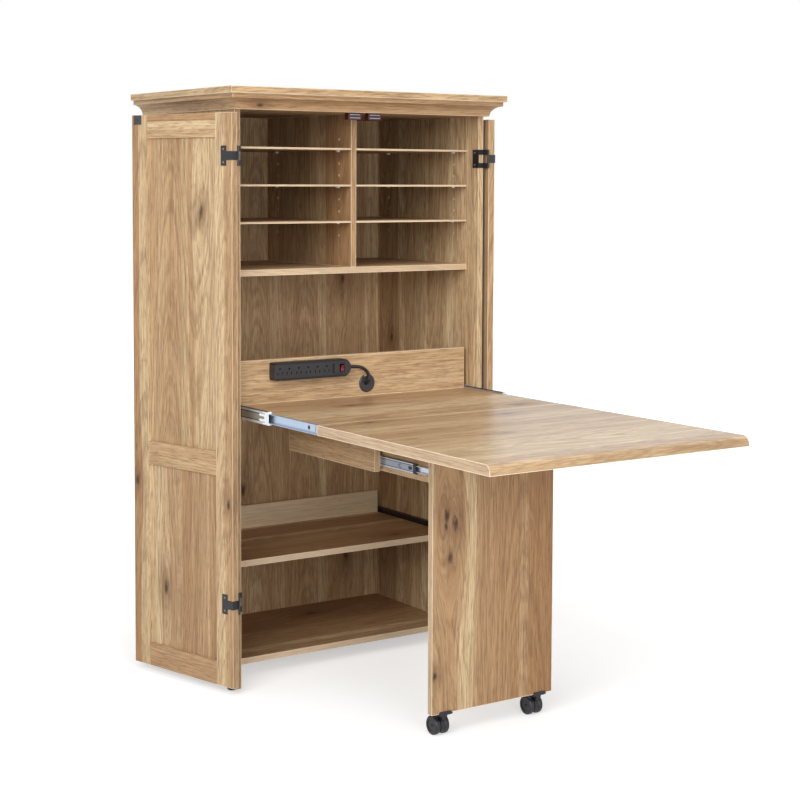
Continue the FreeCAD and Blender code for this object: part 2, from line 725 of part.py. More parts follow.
def make_door(label, side):
    """A framed door, built closed and swung open about its hinge pins."""
    opening = FreeCAD.Rotation(Z_AXIS, open_degrees * side)
    pin = point(pin_x * side, pin_y, ZERO)
    swing = FreeCAD.Placement(pin, opening).multiply(FreeCAD.Placement(-pin, FreeCAD.Rotation()))
    meeting = door_middle_gap / 2
    thick = (door_outer, door_inner)
    free_x = on_side(side, meeting, meeting + stile_width)
    hinge_x = on_side(side, door_edge - stile_width, door_edge)
    rail_x = on_side(side, meeting + stile_width, door_edge - stile_width)
    core = (door_outer + door_inner) / 2
    panel_y = (core - door_panel_thick / 2, core + door_panel_thick / 2)
    groove_y = (panel_y[0] - groove_play / 2, panel_y[1] + groove_play / 2)
    groove_x = (rail_x[0] - groove_depth, rail_x[1] + groove_depth)
    full = (door_rise, door_top)
    middle = (middle_rail_rise, middle_rail_rise + rail_width)
    rails = ((door_rise, door_rise + rail_width), middle, (door_top - rail_width, door_top))
    fields = ((rails[0][1], middle[0]), (middle[1], rails[2][0]))

    def slots(tag):
        spans = [(low - groove_depth, high + groove_depth) for low, high in fields]
        return group("grooves_" + tag, [box("groove_%s_%d" % (tag, index), groove_x, groove_y, span)
                                        for index, span in enumerate(spans)])

    pieces = {}
    for part, span in (("hinge_stile", hinge_x), ("free_stile", free_x)):
        tag = "%s_%s" % (label, part)
        pieces[part] = cut(tag + "_cut", box(tag + "_board", span, thick, full), slots(tag))
    boards = [box("rail_%s_%d" % (label, index), rail_x, thick, span) for index, span in enumerate(rails)]
    rail_boards = group("rail_boards_" + label, boards)
    pieces["rails"] = cut("rails_%s_cut" % label, rail_boards, slots(label + "_rail"))
    for part, (low, high) in zip(("lower_panel", "upper_panel"), fields):
        field = (low - groove_depth + groove_play, high + groove_depth - groove_play)
        panel_x = (groove_x[0] + groove_play, groove_x[1] - groove_play)
        tag = "%s_%s" % (label, part)
        pieces[part] = group(tag + "_group", [box(tag + "_board", panel_x, panel_y, field)])
    strike_low = meeting + strike_inset
    strike_z = (door_top - strike_drop - strike_height, door_top - strike_drop)
    plate = box("strike_" + label, on_side(side, strike_low, strike_low + strike_width),
                (door_inner, door_inner + strike_thick), strike_z)
    pieces["strike"] = group("strike_group_" + label, [plate])
    leaves = []
    for index, low in enumerate(hinge_rises):
        leaves.append(make_door_leaf(side, "%s_%d" % (label, index), low))
    pieces["hinge_leaves"] = group("door_leaf_group_" + label, leaves)
    pieces["handle"] = make_handle(side, label)
    for part, piece in pieces.items():
        piece.Placement = swing
        node("door_%s_%s" % (label, part), piece)


def slide_sections(thick, middle_height, inner_height):
    """Sections and offsets from the wall of a slide's three nested members."""
    nest = slide_wall + slide_play
    outer_height = middle_height + nest * 2
    outer = channel(thick - nest, outer_height, slide_wall, slide_wall, True)
    race = (middle_height - inner_height) / 2 - slide_play
    middle = channel(thick - nest * 2, middle_height, slide_wall, race, True)
    inner_start = nest + slide_wall + slide_play
    inner = channel(thick - inner_start, inner_height, slide_wall, slide_wall, False)
    return ((outer, ZERO, outer_height), (middle, nest, middle_height), (inner, inner_start, inner_height))


def slide_screw_holes(start):
    """Screw holes along the inner slide members and a slot near their front ends, cut right across."""
    slot_low = start + slide_slot_inset
    slot_half = slide_slot_height / 2
    tools = [box("slide_slot", (-inside_half, inside_half), (slot_low, slot_low + slide_slot_width),
                 (slide_level - slot_half, slide_level + slot_half))]
    for index in range(slide_screw_count):
        base = (-inside_half, start + slide_screw_inset + slide_screw_pitch * index, slide_level)
        tools.append(rod("slide_screw_%d" % index, slide_screw_radius, inside_width, base, X_AXIS))
    return group("slide_screws", tools)


def make_worktop():
    field = (-worktop_half, worktop_half)
    hole_base = (grommet_place, board_front - cut_overrun, worktop_height + grommet_rise)
    passage = rod("grommet_hole", grommet_sleeve_radius, panel_thick + cut_overrun * 2, hole_base, Y_AXIS)
    board_z = (worktop_height, worktop_height + board_height)
    board = box("board_blank", field, (board_front, board_rear), board_z)
    top_span = (seam + seam_gap, board_rear)
    node("worktop", box("worktop_board", field, top_span, (worktop_under, worktop_height)))
    node("power_board", cut("power_board_cut", board, passage))
    leaf_half = inside_half - leaf_side_gap
    bend = worktop_thick - leaf_round
    outline = [(ZERO, ZERO), (leaf_depth, ZERO), (leaf_depth, bend),
               (leaf_depth - leaf_round, worktop_thick), (ZERO, worktop_thick)]
    nose = {2: (leaf_round, leaf_depth - leaf_round, bend, True)}
    leaf_base = (leaf_half, seam, worktop_under)
    leaf = pad("drop_leaf_body", outline, leaf_half * 2, leaf_base, facing(-Y_AXIS, Z_AXIS), nose)
    node("drop_leaf", leaf)
    outer, middle, inner = slide_sections(slide_thick, slide_middle_height, slide_inner_height)
    starts = (front + slide_setback, front - slide_middle_reach, seam + slide_inner_inset)
    lengths = (slide_length, slide_middle_length, slide_length)
    names = ("slide_cabinet_members", "slide_middle_members", "slide_inner_members")
    members = (outer, middle, inner)
    for name, (section, offset, height), start, length in zip(names, members, starts, lengths):
        pair = channel_pair(name, section, inside_half - offset, slide_level, height, start, length)
        if name == "slide_inner_members":
            pair = cut(name + "_drilled", pair, slide_screw_holes(start))
        node(name, pair)


def make_leaf_hinges():
    """A butt hinge under each end of the seam, in from the worktop's edge."""
    axis_y = seam + seam_gap / 2
    axis_z = worktop_under - barrel_radius - barrel_gap
    skin = (worktop_under - leaf_metal, worktop_under)
    hidden = barrel_radius + barrel_gap
    far = worktop_half - leaf_hinge_inset
    near = far - leaf_hinge_length
    knuckle = leaf_hinge_length / leaf_knuckles
    fixed = []
    flaps = []
    for label, side in SIDES:
        span = on_side(side, near, far)
        middle = (span[0] + knuckle, span[1] - knuckle)
        relief_x = (middle[0] - barrel_gap, middle[1] + barrel_gap)
        plate = box("hinge_fixed_" + label, span, (axis_y, axis_y + leaf_hinge_width), skin)
        relief = box("hinge_relief_" + label, relief_x, (axis_y - cut_overrun, axis_y + hidden),
                     (skin[0] - cut_overrun, skin[1] + cut_overrun))
        pieces = [cut("hinge_fixed_plate_" + label, plate, relief)]
        for index, low in enumerate((span[0], relief_x[1])):
            base = (low, axis_y, axis_z)
            name = "fixed_barrel_%s_%d" % (label, index)
            pieces.append(rod(name, barrel_radius, knuckle - barrel_gap, base, X_AXIS))
        pin_base = (span[0], axis_y, axis_z)
        pieces.append(rod("leaf_pin_" + label, hinge_pin_radius, leaf_hinge_length, pin_base, X_AXIS))
        fixed.append(fused("hinge_fixed_solid_" + label, pieces))
        flap = box("flap_" + label, span, (axis_y - leaf_hinge_width, axis_y - hidden), skin)
        tongue = box("flap_tongue_" + label, middle, (axis_y - hidden, axis_y), skin)
        base = (middle[0], axis_y, axis_z)
        length = middle[1] - middle[0]
        barrel = rod("flap_barrel_" + label, barrel_radius, length, base, X_AXIS)
        bore = rod("flap_bore_" + label, hinge_pin_radius + hinge_pin_play, length, base, X_AXIS)
        solid = fused("flap_solid_" + label, [flap, tongue, barrel])
        flaps.append(cut("flap_cut_" + label, solid, bore))
    node("leaf_hinge_plates", group("leaf_hinge_group", fixed))
    node("leaf_hinge_flaps", group("leaf_flap_group", flaps))


def make_leg():
    aprons = []
    arms = []
    for label, side in SIDES:
        aprons.append(box("apron_" + label, on_side(side, apron_inside, apron_inside + panel_thick),
                          (apron_front, board_rear - apron_rear_inset), (apron_under, worktop_under)))
        arms.append(box("arm_" + label, on_side(side, leg_half - panel_thick, leg_half),
                        (leg_rear, leg_rear + arm_length), (apron_under, apron_under + arm_height)))
    node("aprons", group("apron_group", aprons))
    node("leg_arms", group("arm_group", arms))
    node("leg_panel", box("leg_board", (-leg_half, leg_half), (leg_front, leg_rear),
                          (leg_rise, worktop_under - leg_top_play)))
    outer, middle, inner = slide_sections(leg_slide_thick, leg_slide_middle_height, leg_slide_inner_height)
    starts = (apron_front, front - leg_slide_middle_reach, leg_rear)
    lengths = (leg_slide_length, leg_slide_middle_length, leg_slide_length)
    names = ("leg_slide_apron_members", "leg_slide_middle_members", "leg_slide_arm_members")
    members = (outer, middle, inner)
    for name, (section, offset, height), start, length in zip(names, members, starts, lengths):
        wall_at = apron_inside - offset
        node(name, channel_pair(name, section, wall_at, leg_slide_level, height, start, length))


def make_caster_plate(label, middle, king_y, plate_low):
    """A plate under the leg with a rounded lip up its front and a socket for the king pin."""
    half = caster_plate_width / 2
    plate = box("plate_blank_" + label, (middle - half, middle + half), (leg_front, leg_rear),
                (plate_low, leg_rise))
    lip_round = caster_lip_height / 2
    straight = caster_lip_width - lip_round
    outline = [(lip_round, ZERO), (straight, ZERO), (straight, caster_lip_height),
               (lip_round, caster_lip_height)]
    rounding = {1: (lip_round, straight, lip_round, True), 3: (lip_round, lip_round, lip_round, True)}
    lip_base = (middle - caster_lip_width / 2, leg_front, plate_low)
    lip = pad("plate_lip_" + label, outline, caster_lip_thick, lip_base, facing(X_AXIS, Z_AXIS), rounding)
    depth = king_depth + swivel_gap
    socket = rod("socket_" + label, king_radius + turn_play, depth, (middle, king_y, plate_low), Z_AXIS)
    return cut("plate_cut_" + label, fused("plate_solid_" + label, [plate, lip]), socket)


def make_fork(label, middle, king_y, axle_y, neck_top):
    """The hood between the wheels, its neck, turntable and king pin, and the axle."""
    low = middle - web_width / 2
    across = (low, low + web_width)
    disc = rod("hood_disc_" + label, hood_radius, web_width, (low, axle_y, wheel_radius), X_AXIS)
    foot = box("hood_foot_" + label, (low - cut_overrun, low + web_width + cut_overrun),
               (axle_y - hood_radius, axle_y + hood_radius), (-cut_overrun, hood_clear))
    hood = cut("hood_" + label, disc, foot)
    table_low = neck_top - neck_height / 2
    neck = box("neck_" + label, across, (king_y - king_radius, axle_y), (table_low - neck_height, table_low))
    turntable = rod("turntable_" + label, swivel_radius, neck_height / 2, (middle, king_y, table_low), Z_AXIS)
    king = rod("king_" + label, king_radius, king_depth + swivel_gap, (middle, king_y, neck_top), Z_AXIS)
    length = web_width + (wheel_gap + wheel_width) * 2
    axle = rod("axle_" + label, axle_radius, length, (middle - length / 2, axle_y, wheel_radius), X_AXIS)
    return fused("fork_solid_" + label, [hood, neck, turntable, king, axle])


def make_wheels(label, middle, axle_y):
    """Two round-edged wheels with a hub recess in their outer faces."""
    bore = axle_radius + turn_play
    rim = wheel_radius - wheel_round
    shoulder = wheel_width - wheel_round
    hub_face = wheel_width - hub_recess
    outline = [(bore, ZERO), (rim, ZERO), (wheel_radius, wheel_round), (wheel_radius, shoulder),
               (rim, wheel_width), (hub_radius, wheel_width), (hub_radius, hub_face), (bore, hub_face)]
    rounding = {1: (wheel_round, rim, wheel_round, True), 3: (wheel_round, rim, shoulder, True)}
    wheels = []
    for index, way in enumerate((LEFT, RIGHT)):
        base = (middle + (web_width / 2 + wheel_gap) * way, axle_y, wheel_radius)
        name = "wheel_%s_%d" % (label, index)
        wheels.append(turned(name, outline, base, facing(Z_AXIS, X_AXIS * way), rounding))
    return group("wheel_group_" + label, wheels)


def make_casters():
    king_y = leg_front + leg_thick / 2
    axle_y = king_y + caster_trail
    plate_low = leg_rise - caster_plate_thick
    plates = []
    for label, side in SIDES:
        middle = (leg_half - caster_inset) * side
        plates.append(make_caster_plate(label, middle, king_y, plate_low))
        node("caster_fork_" + label, make_fork(label, middle, king_y, axle_y, plate_low - swivel_gap))
        node("caster_wheels_" + label, make_wheels(label, middle, axle_y))
    node("caster_plates", group("plate_group", plates))


def make_power():
    end_round = strip_height / 2
    low_x = -strip_end - strip_length
    low_z = worktop_height + strip_rise
    middle_z = low_z + end_round
    straight = strip_length - end_round
    face = board_front - strip_depth
    outline = [(strip_corner, ZERO), (straight, ZERO), (straight, strip_height), (strip_corner, strip_height),
               (ZERO, strip_height - strip_corner), (ZERO, strip_corner)]
    rounding = {1: (end_round, straight, end_round, True),
                3: (strip_corner, strip_corner, strip_height - strip_corner, True),
                5: (strip_corner, strip_corner, strip_corner, True)}
    shell_base = (low_x, board_front, low_z)
    shell = pad("strip_shell", outline, strip_depth, shell_base, facing(X_AXIS, Z_AXIS), rounding)
    block_x = (low_x + block_start, low_x + block_start + block_width)
    block = box("strip_block", block_x, (face - block_reach, face),
                (middle_z - block_height / 2, middle_z + block_height / 2))
    gland_base = (-strip_end - end_round, board_front - cord_stand, middle_z)
    gland = rod("strip_gland", gland_radius, end_round + gland_reach, gland_base, X_AXIS)
    rocker_x = (low_x + rocker_start, low_x + rocker_start + rocker_width)
    tools = outlet_cuts(low_x + outlet_first, face, middle_z) + switch_cuts(rocker_x, face, middle_z)
    solid = fused("strip_solid", [shell, block, gland])
    node("power_strip", cut("strip_cut", solid, group("strip_tools", tools)))
    make_rocker(rocker_x, face + rocker_depth / 2, middle_z)
    make_grommet()
    make_cord(middle_z)


def outlet_cuts(first_x, face, middle_z):
    """Two blade slots and an earth hole for each outlet."""
    tools = []
    span = (face - cut_overrun, face + outlet_depth)
    slot_top = middle_z - slot_drop + slot_height / 2
    for index in range(outlet_count):
        place = first_x + outlet_pitch * index
        earth_base = (place, face - cut_overrun, middle_z + earth_rise)
        tools.append(rod("earth_%d" % index, earth_radius, outlet_depth + cut_overrun, earth_base, Y_AXIS))
        for way in (LEFT, RIGHT):
            low = place + slot_spread * way / 2 - slot_width / 2
            name = "blade_%d_%d" % (index, way + 1)
            tools.append(box(name, (low, low + slot_width), span, (slot_top - slot_height, slot_top)))
    return tools


def pivot_span(rocker_x):
    """The cross pin reaches past both sides of the rocker."""
    return (rocker_x[0] - rocker_pivot_reach, rocker_x[1] + rocker_pivot_reach)


def switch_cuts(rocker_x, face, middle_z):
    """A shallow bezel, the rocker's well and the bearing of its cross pin."""
    ahead = face - cut_overrun
    well_half = rocker_height / 2 + rocker_play
    bezel_half = rocker_height / 2 + bezel_end
    bezel = box("rocker_bezel", (rocker_x[0] - bezel_side, rocker_x[1] + bezel_side),
                (ahead, face + bezel_depth), (middle_z - bezel_half, middle_z + bezel_half))
    well = box("rocker_well", (rocker_x[0] - rocker_play, rocker_x[1] + rocker_play),
               (ahead, face + rocker_well_depth), (middle_z - well_half, middle_z + well_half))
    low, high = pivot_span(rocker_x)
    bearing = rod("rocker_bearing", rocker_pivot_radius + turn_play, high - low + rocker_play * 2,
                  (low - rocker_play, face + rocker_depth / 2, middle_z), X_AXIS)
    return [bezel, well, bearing]


def make_grommet():
    """A plug with a rim, its hole beside the middle and a notch from the hole up through the rim."""
    level = worktop_height + grommet_rise
    rim = grommet_radius - grommet_lip
    cap = panel_thick + grommet_lip
    outline = [(ZERO, ZERO), (grommet_sleeve_radius, ZERO), (grommet_sleeve_radius, panel_thick),
               (grommet_radius, panel_thick), (rim, cap), (ZERO, cap)]
    plug = turned("grommet_plug", outline, (grommet_place, board_rear, level), facing(X_AXIS, -Y_AXIS))
    hole_x = grommet_place - cord_hole_offset
    hole_round = cord_radius + cord_play
    base = (hole_x, board_front - cut_overrun, level)
    hole = rod("cord_hole", hole_round, panel_thick + cut_overrun * 2, base, Y_AXIS)
    notch = box("cord_notch", (hole_x - hole_round, hole_x + hole_round),
                (board_front - cut_overrun, board_front), (level, level + grommet_radius + cut_overrun))
    node("grommet", cut("grommet_cut", plug, group("grommet_tools", [hole, notch])))


def make_rocker(rocker_x, pivot_y, middle_z):
    """A two-faced rocker on a cross pin, tipped to its off side."""
    half = rocker_height / 2
    rise = rocker_depth / 2 + rocker_reach
    lean = math.tan(math.radians(rocker_degrees))
    outline = [(ZERO, ZERO), (rise, ZERO), (rise - half * lean, half), (rise, rocker_height),
               (ZERO, rocker_height)]
    base = (rocker_x[1], pivot_y, middle_z - half)
    key = pad("rocker_key", outline, rocker_width, base, facing(-Y_AXIS, Z_AXIS))
    low, high = pivot_span(rocker_x)
    pivot = rod("rocker_pivot", rocker_pivot_radius, high - low, (low, pivot_y, middle_z), X_AXIS)
    switch = fused("rocker_solid", [key, pivot])
    tilt = FreeCAD.Rotation(X_AXIS, rocker_degrees)
    centre = point(ZERO, pivot_y, middle_z)
    back = FreeCAD.Placement(-centre, FreeCAD.Rotation())
    switch.Placement = FreeCAD.Placement(centre, tilt).multiply(back)
    node("rocker", switch)


def bend_radius(before, corner, after):
    """The radius that rounds a corner within the shorter of its two runs."""
    turn = (corner - before).getAngle(after - corner)
    shorter = min((corner - before).Length, (after - corner).Length)
    return corner_share * shorter / math.tan(turn / 2)


def rounded_path(points):
    """Straight runs joined by tangent arcs."""
    edges = []
    start = points[0]
    for before, corner, after in zip(points, points[1:], points[2:]):
        inward = (before - corner).normalize()
        onward = (after - corner).normalize()
        radius = bend_radius(before, corner, after)
        back = radius * math.tan((-inward).getAngle(onward) / 2)
        first = corner + inward * back
        last = corner + onward * back
        bisector = (inward + onward).normalize()
        middle = corner + bisector * (math.hypot(radius, back) - radius)
        edges.append(Part.LineSegment(start, first).toShape())
        edges.append(Part.Arc(first, middle, last).toShape())
        print("cord bend radius %.1f" % radius)
        start = last
    edges.append(Part.LineSegment(start, points[-1]).toShape())
    return Part.Wire(edges)


def cord_route(strip_middle):
    """From the gland, turning down in three steps, then back through the grommet."""
    start_x = number(gland_reach - strip_end)
    finish_x = number(grommet_place - cord_hole_offset)
    hang_y = number(board_front - cord_stand)
    level = number(strip_middle)
    exit_run = number(cord_exit)
    steps = [math.radians(angle) for angle in cord_headings]
    run = (finish_x - start_x - exit_run) / sum(math.cos(angle) for angle in steps)
    points = [Vector(start_x, hang_y, level), Vector(start_x + exit_run, hang_y, level)]
    for angle in steps:
        points.append(points[-1] + Vector(run * math.cos(angle), 0, -run * math.sin(angle)))
    hole_level = number(worktop_height + grommet_rise)
    points.append(Vector(finish_x, hang_y, hole_level))
    points.append(Vector(finish_x, number(board_rear), hole_level))
    return points


def make_cord(strip_middle):
    """The length of cord between the strip and the board."""
    doc.recompute()
    radius = sheet.cord_radius
    route = cord_route(strip_middle)
    path = rounded_path(route)
    ring = Part.Wire([Part.makeCircle(radius, route[0], route[1] - route[0])])
    tube = path.makePipeShell([ring], True, False)
    print("cord volume %.1f, section times length %.1f" % (tube.Volume, math.pi * radius ** 2 * path.Length))
    cord = doc.addObject("Part::Feature", "cord_tube")
    cord.Shape = tube
    cord.Placement = FreeCAD.Placement()
    node("power_cord", cord)


def check_and_write():
    for item in doc.Objects:
        if {"Invalid", "Error"} & set(item.State):
            raise RuntimeError("%s did not build: %s" % (item.Name, item.State))
    for name, item in nodes.items():
        shape = item.Shape
        if shape.isNull() or not shape.isValid() or not shape.Solids:
            raise RuntimeError("%s has no sound shape" % name)
    os.makedirs("parts", exist_ok=True)
    for name, item in nodes.items():
        item.Shape.exportStep(os.path.join("parts", name + ".step"))
    print("%d nodes, %d solids" % (len(nodes), sum(len(item.Shape.Solids) for item in nodes.values())))


make_carcass()
make_cornice()
make_small_shelves()
make_catches()
make_lower_shelf()
make_glides()
make_frame_leaves()
for side_label, side_sign in SIDES:
    make_door(side_label, side_sign)
make_worktop()
make_leaf_hinges()
make_leg()
make_casters()
make_power()
doc.recompute()
check_and_write()
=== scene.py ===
import bpy
import bmesh
import math
from mathutils import Matrix, Vector


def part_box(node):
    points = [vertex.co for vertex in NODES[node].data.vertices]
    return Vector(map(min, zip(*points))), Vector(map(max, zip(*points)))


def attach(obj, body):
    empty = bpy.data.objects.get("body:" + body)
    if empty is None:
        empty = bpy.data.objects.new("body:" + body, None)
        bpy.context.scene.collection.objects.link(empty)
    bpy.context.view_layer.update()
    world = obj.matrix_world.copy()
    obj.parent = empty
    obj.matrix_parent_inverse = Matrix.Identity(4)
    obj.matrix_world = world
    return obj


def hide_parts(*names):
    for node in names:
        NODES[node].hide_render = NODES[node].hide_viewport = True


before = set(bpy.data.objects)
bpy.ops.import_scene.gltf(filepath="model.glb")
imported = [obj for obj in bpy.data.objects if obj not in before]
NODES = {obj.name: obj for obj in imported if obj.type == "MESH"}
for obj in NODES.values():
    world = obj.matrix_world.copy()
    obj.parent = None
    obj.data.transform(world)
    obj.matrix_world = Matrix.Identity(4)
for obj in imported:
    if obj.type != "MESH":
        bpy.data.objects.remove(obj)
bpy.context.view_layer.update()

SCENE = bpy.context.scene
SCENE.view_settings.view_transform = "Standard"
SIDES = (("left", -1), ("right", 1))
X, Y, Z = range(3)

# Camera, solved from the straight edges of the piece: angles in radians, place in metres
YAW = 0.59566
PITCH = -0.06749
ROLL = 0.00375
FOCAL_PX = 1706.15
IMAGE_PX = 800
CENTRE_PX = 296.34
SENSOR_MM = 36.0
EYE = Vector((-2.4412, -3.50795, 1.3055))


def make_camera():
    level = math.cos(PITCH)
    ahead = Vector((math.sin(YAW) * level, math.cos(YAW) * level, math.sin(PITCH)))
    level_right = Vector((math.cos(YAW), -math.sin(YAW), 0))
    level_up = level_right.cross(ahead)
    right = level_right * math.cos(ROLL) + level_up * math.sin(ROLL)
    up = level_up * math.cos(ROLL) - level_right * math.sin(ROLL)
    data = bpy.data.cameras.new("camera")
    data.sensor_width = SENSOR_MM
    data.lens = SENSOR_MM * FOCAL_PX / IMAGE_PX
    data.shift_y = (CENTRE_PX - IMAGE_PX / 2) / IMAGE_PX
    camera = bpy.data.objects.new("camera", data)
    SCENE.collection.objects.link(camera)
    axes = Matrix((right, up, -ahead)).transposed().to_4x4()
    camera.matrix_world = Matrix.Translation(EYE) @ axes
    SCENE.camera = camera


make_camera()


# Sockets of the Mix node that belong to colours
MIX_FIRST, MIX_SECOND, MIX_RESULT = 6, 7, 2
SOCKETS = {"color": "Base Color", "rough": "Roughness", "metal": "Metallic", "coat": "Coat Weight",
           "specular": "Specular IOR Level"}


def opaque(value):
    """A colour with its alpha, and anything else as it is."""
    return value + (1.0,) if isinstance(value, tuple) else value


class Graph:
    """Short names for building one material's nodes."""

    def __init__(self, name):
        self.material = bpy.data.materials.new(name)
        self.material.use_nodes = True
        self.tree = self.material.node_tree
        self.shader = self.tree.nodes["Principled BSDF"]

    def add(self, kind, **settings):
        node = self.tree.nodes.new(kind)
        for key, value in settings.items():
            setattr(node, key, value)
        return node

    def put(self, socket, value):
        if isinstance(value, bpy.types.NodeSocket):
            self.tree.links.new(value, socket)
        else:
            socket.default_value = value

    def math(self, operation, first, second=0.0, clamp=False):
        node = self.add("ShaderNodeMath", operation=operation, use_clamp=clamp)
        self.put(node.inputs[0], first)
        self.put(node.inputs[1], second)
        return node.outputs[0]

    def combine(self, x, y, z):
        node = self.add("ShaderNodeCombineXYZ")
        for socket, value in zip(node.inputs, (x, y, z)):
            self.put(socket, value)
        return node.outputs[0]

    def stretch(self, places, scales):
        scaled = [self.math("MULTIPLY", place, scale) for place, scale in zip(places, scales)]
        return self.combine(*scaled)

    def split(self, output, turn):
        """The three parts of the object's place or normal, turned about the upright axis."""
        vector = self.add("ShaderNodeTexCoord").outputs[output]
        if turn:
            mapping = self.add("ShaderNodeMapping", vector_type="VECTOR")
            mapping.inputs["Rotation"].default_value = (0, 0, turn)
            self.put(mapping.inputs["Vector"], vector)
            vector = mapping.outputs[0]
        node = self.add("ShaderNodeSeparateXYZ")
        self.put(node.inputs[0], vector)
        return node.outputs

    def noise(self, vector, scale=1.0, detail=2.0, rough=0.5):
        node = self.add("ShaderNodeTexNoise")
        self.put(node.inputs["Vector"], vector)
        node.inputs["Scale"].default_value = scale
        node.inputs["Detail"].default_value = detail
        node.inputs["Roughness"].default_value = rough
        return node.outputs[0]

    def curve(self, value, stops):
        node = self.add("ShaderNodeValToRGB")
        elements = node.color_ramp.elements
        while len(elements) < len(stops):
            elements.new(1.0)
        for element, (place, level) in zip(elements, stops):
            element.position = place
            element.color = (level, level, level, 1.0)
        self.put(node.inputs[0], value)
        return node.outputs[0]

    def mix(self, factor, first, second):
        node = self.add("ShaderNodeMix", data_type="RGBA")
        self.put(node.inputs[0], factor)
        self.put(node.inputs[MIX_FIRST], opaque(first))
        self.put(node.inputs[MIX_SECOND], opaque(second))
        return node.outputs[MIX_RESULT]

    def bump(self, height, strength, distance):
        node = self.add("ShaderNodeBump")
        node.inputs["Strength"].default_value = strength
        node.inputs["Distance"].default_value = distance
        self.put(node.inputs["Height"], height)
        self.put(self.shader.inputs["Normal"], node.outputs[0])

    def set(self, **values):
        for key, value in values.items():
            self.put(self.shader.inputs[SOCKETS[key]], opaque(value))


# The sRGB curve
SRGB_KNEE = 0.04045
SRGB_SLOPE = 12.92
SRGB_SHIFT = 0.055
SRGB_POWER = 2.4


def light_level(level):
    if level <= SRGB_KNEE:
        return level / SRGB_SLOPE
    return ((level + SRGB_SHIFT) / (1 + SRGB_SHIFT)) ** SRGB_POWER


def linear(red, green, blue):
    """A screen colour, 0 to 255, as linear light."""
    return tuple(light_level(level / 255) for level in (red, green, blue))


SAP_OAK = linear(230, 207, 165)
PALE_OAK = linear(221, 194, 154)
MID_OAK = linear(199, 166, 125)
BROWN_OAK = linear(165, 126, 88)
LINE_OAK = linear(108, 76, 49)
KNOT_OAK = linear(50, 35, 30)
# Pale of the edge bands, also the colour of the painted highlight along the arrises
EDGE_BAND_AND_HIGHLIGHT_OAK = linear(236, 217, 188)
GOLD_OAK = linear(147, 117, 45)

# Axes along the grain, across it on the board's face, and through the board
GRAINS = {"X": (X, Y, Z), "Z": (Z, X, Y), "XZ": (X, Z, Y), "YZ": (Y, Z, X), "ZY": (Z, Y, X)}
STRAIGHT_GRAINS = ("XZ", "YZ")


def turned_box(name, turn):
    """A node's lowest and highest places, turned about the upright axis."""
    spin = Matrix.Rotation(turn, 3, "Z")
    columns = list(zip(*[spin @ vertex.co for vertex in NODES[name].data.vertices]))
    return [(min(column), max(column)) for column in columns]


# Arrises, which carry a painted highlight: the largest part of a normal that still counts as lying along a
# face, and how wide they are
ALONG_FACE = 0.6
ARRIS_WIDTH = 0.0012


def arris_highlight_mask(g, places, normals, box):
    """Where the painted highlight goes: one near the arrises of a board, nought on its faces."""
    total = None
    for place, normal, (low, high) in zip(places, normals, box):
        away = g.math("MINIMUM", g.math("SUBTRACT", place, low), g.math("SUBTRACT", high, place))
        near = g.math("LESS_THAN", away, ARRIS_WIDTH)
        flat = g.math("LESS_THAN", g.math("ABSOLUTE", normal), ALONG_FACE)
        both = g.math("MULTIPLY", near, flat)
        total = both if total is None else g.math("MAXIMUM", total, both)
    return total


# Knots: how much shorter a knot counts lengthwise, its ragged rim, its darkness from the middle out, the
# fall of its halo, and how far and how much the grain flows round it
NOISE_MIDDLE = 0.5
KNOT_STRETCH = 0.5
KNOT_WOBBLE = 1.5
KNOT_CORE = ((0.0, 0.95), (0.35, 0.8), (0.65, 0.4), (1.0, 0.0))
HALO_FALL = 0.16
FLOW_STRETCH = 0.2
FLOW_REACH = 3.2
FLOW_SHARE = 0.8


def halving(g, steps):
    """Half as much for each step."""
    return g.math("POWER", 0.5, steps)


def knot_field(g, along, across, rough, knots):
    """How dark each knot is, how brown round about, and the place across once the grain has flowed round."""
    dark = halo = None
    flowed = across
    for knot_along, knot_across, radius in knots:
        gap_along = g.math("SUBTRACT", along, knot_along)
        gap_across = g.math("SUBTRACT", across, knot_across)
        aside = g.math("MULTIPLY", gap_across, gap_across)
        squares = []
        for stretch in (KNOT_STRETCH, FLOW_STRETCH):
            lengthwise = g.math("MULTIPLY", gap_along, stretch)
            squares.append(g.math("ADD", g.math("MULTIPLY", lengthwise, lengthwise), aside))
        wobble = g.math("MULTIPLY", g.math("SUBTRACT", rough, NOISE_MIDDLE), radius * KNOT_WOBBLE)
        away = g.math("DIVIDE", g.math("ADD", g.math("SQRT", squares[0]), wobble), radius)
        core = g.curve(away, KNOT_CORE)
        round_about = halving(g, g.math("MULTIPLY", g.math("MULTIPLY", away, away), HALO_FALL))
        spread = halving(g, g.math("DIVIDE", squares[1], (radius * FLOW_REACH) ** 2))
        push = g.math("MULTIPLY", g.math("MULTIPLY", gap_across, spread), FLOW_SHARE)
        flowed = g.math("SUBTRACT", flowed, push)
        dark = core if dark is None else g.math("MAXIMUM", dark, core)
        halo = round_about if halo is None else g.math("MAXIMUM", halo, round_about)
    return dark, halo, flowed


# Noise scales along the grain, across it and through the board
FINE_SCALES = (9.0, 150.0, 150.0)
ROUGH_SCALES = (45.0, 110.0, 110.0)
SWAY_SCALES = (1.8, 5.0, 5.0)
ZONE_SCALES = (0.9, 26.0, 26.0)
STREAK_SCALES = (1.4, 90.0, 90.0)
FIBRE_SCALES = (7.0, 230.0, 230.0)
PORE_SCALES = (26.0, 330.0, 330.0)
EDGE_SCALES = (5.0, 40.0, 40.0)
STREAK_DETAIL = 3.0
FIBRE_ROUGH = 0.6

# What noise becomes what weight
LINE_CURVE = ((0.44, 0.0), (0.64, 1.0))
ZONE_CURVE = ((0.36, 0.1), (0.64, 0.85))
STREAK_CURVE = ((0.42, 0.0), (0.66, 1.0))
PORE_CURVE = ((0.50, 0.0), (0.68, 1.0))
EDGE_CURVE = ((0.1, 0.0), (0.9, 1.0))

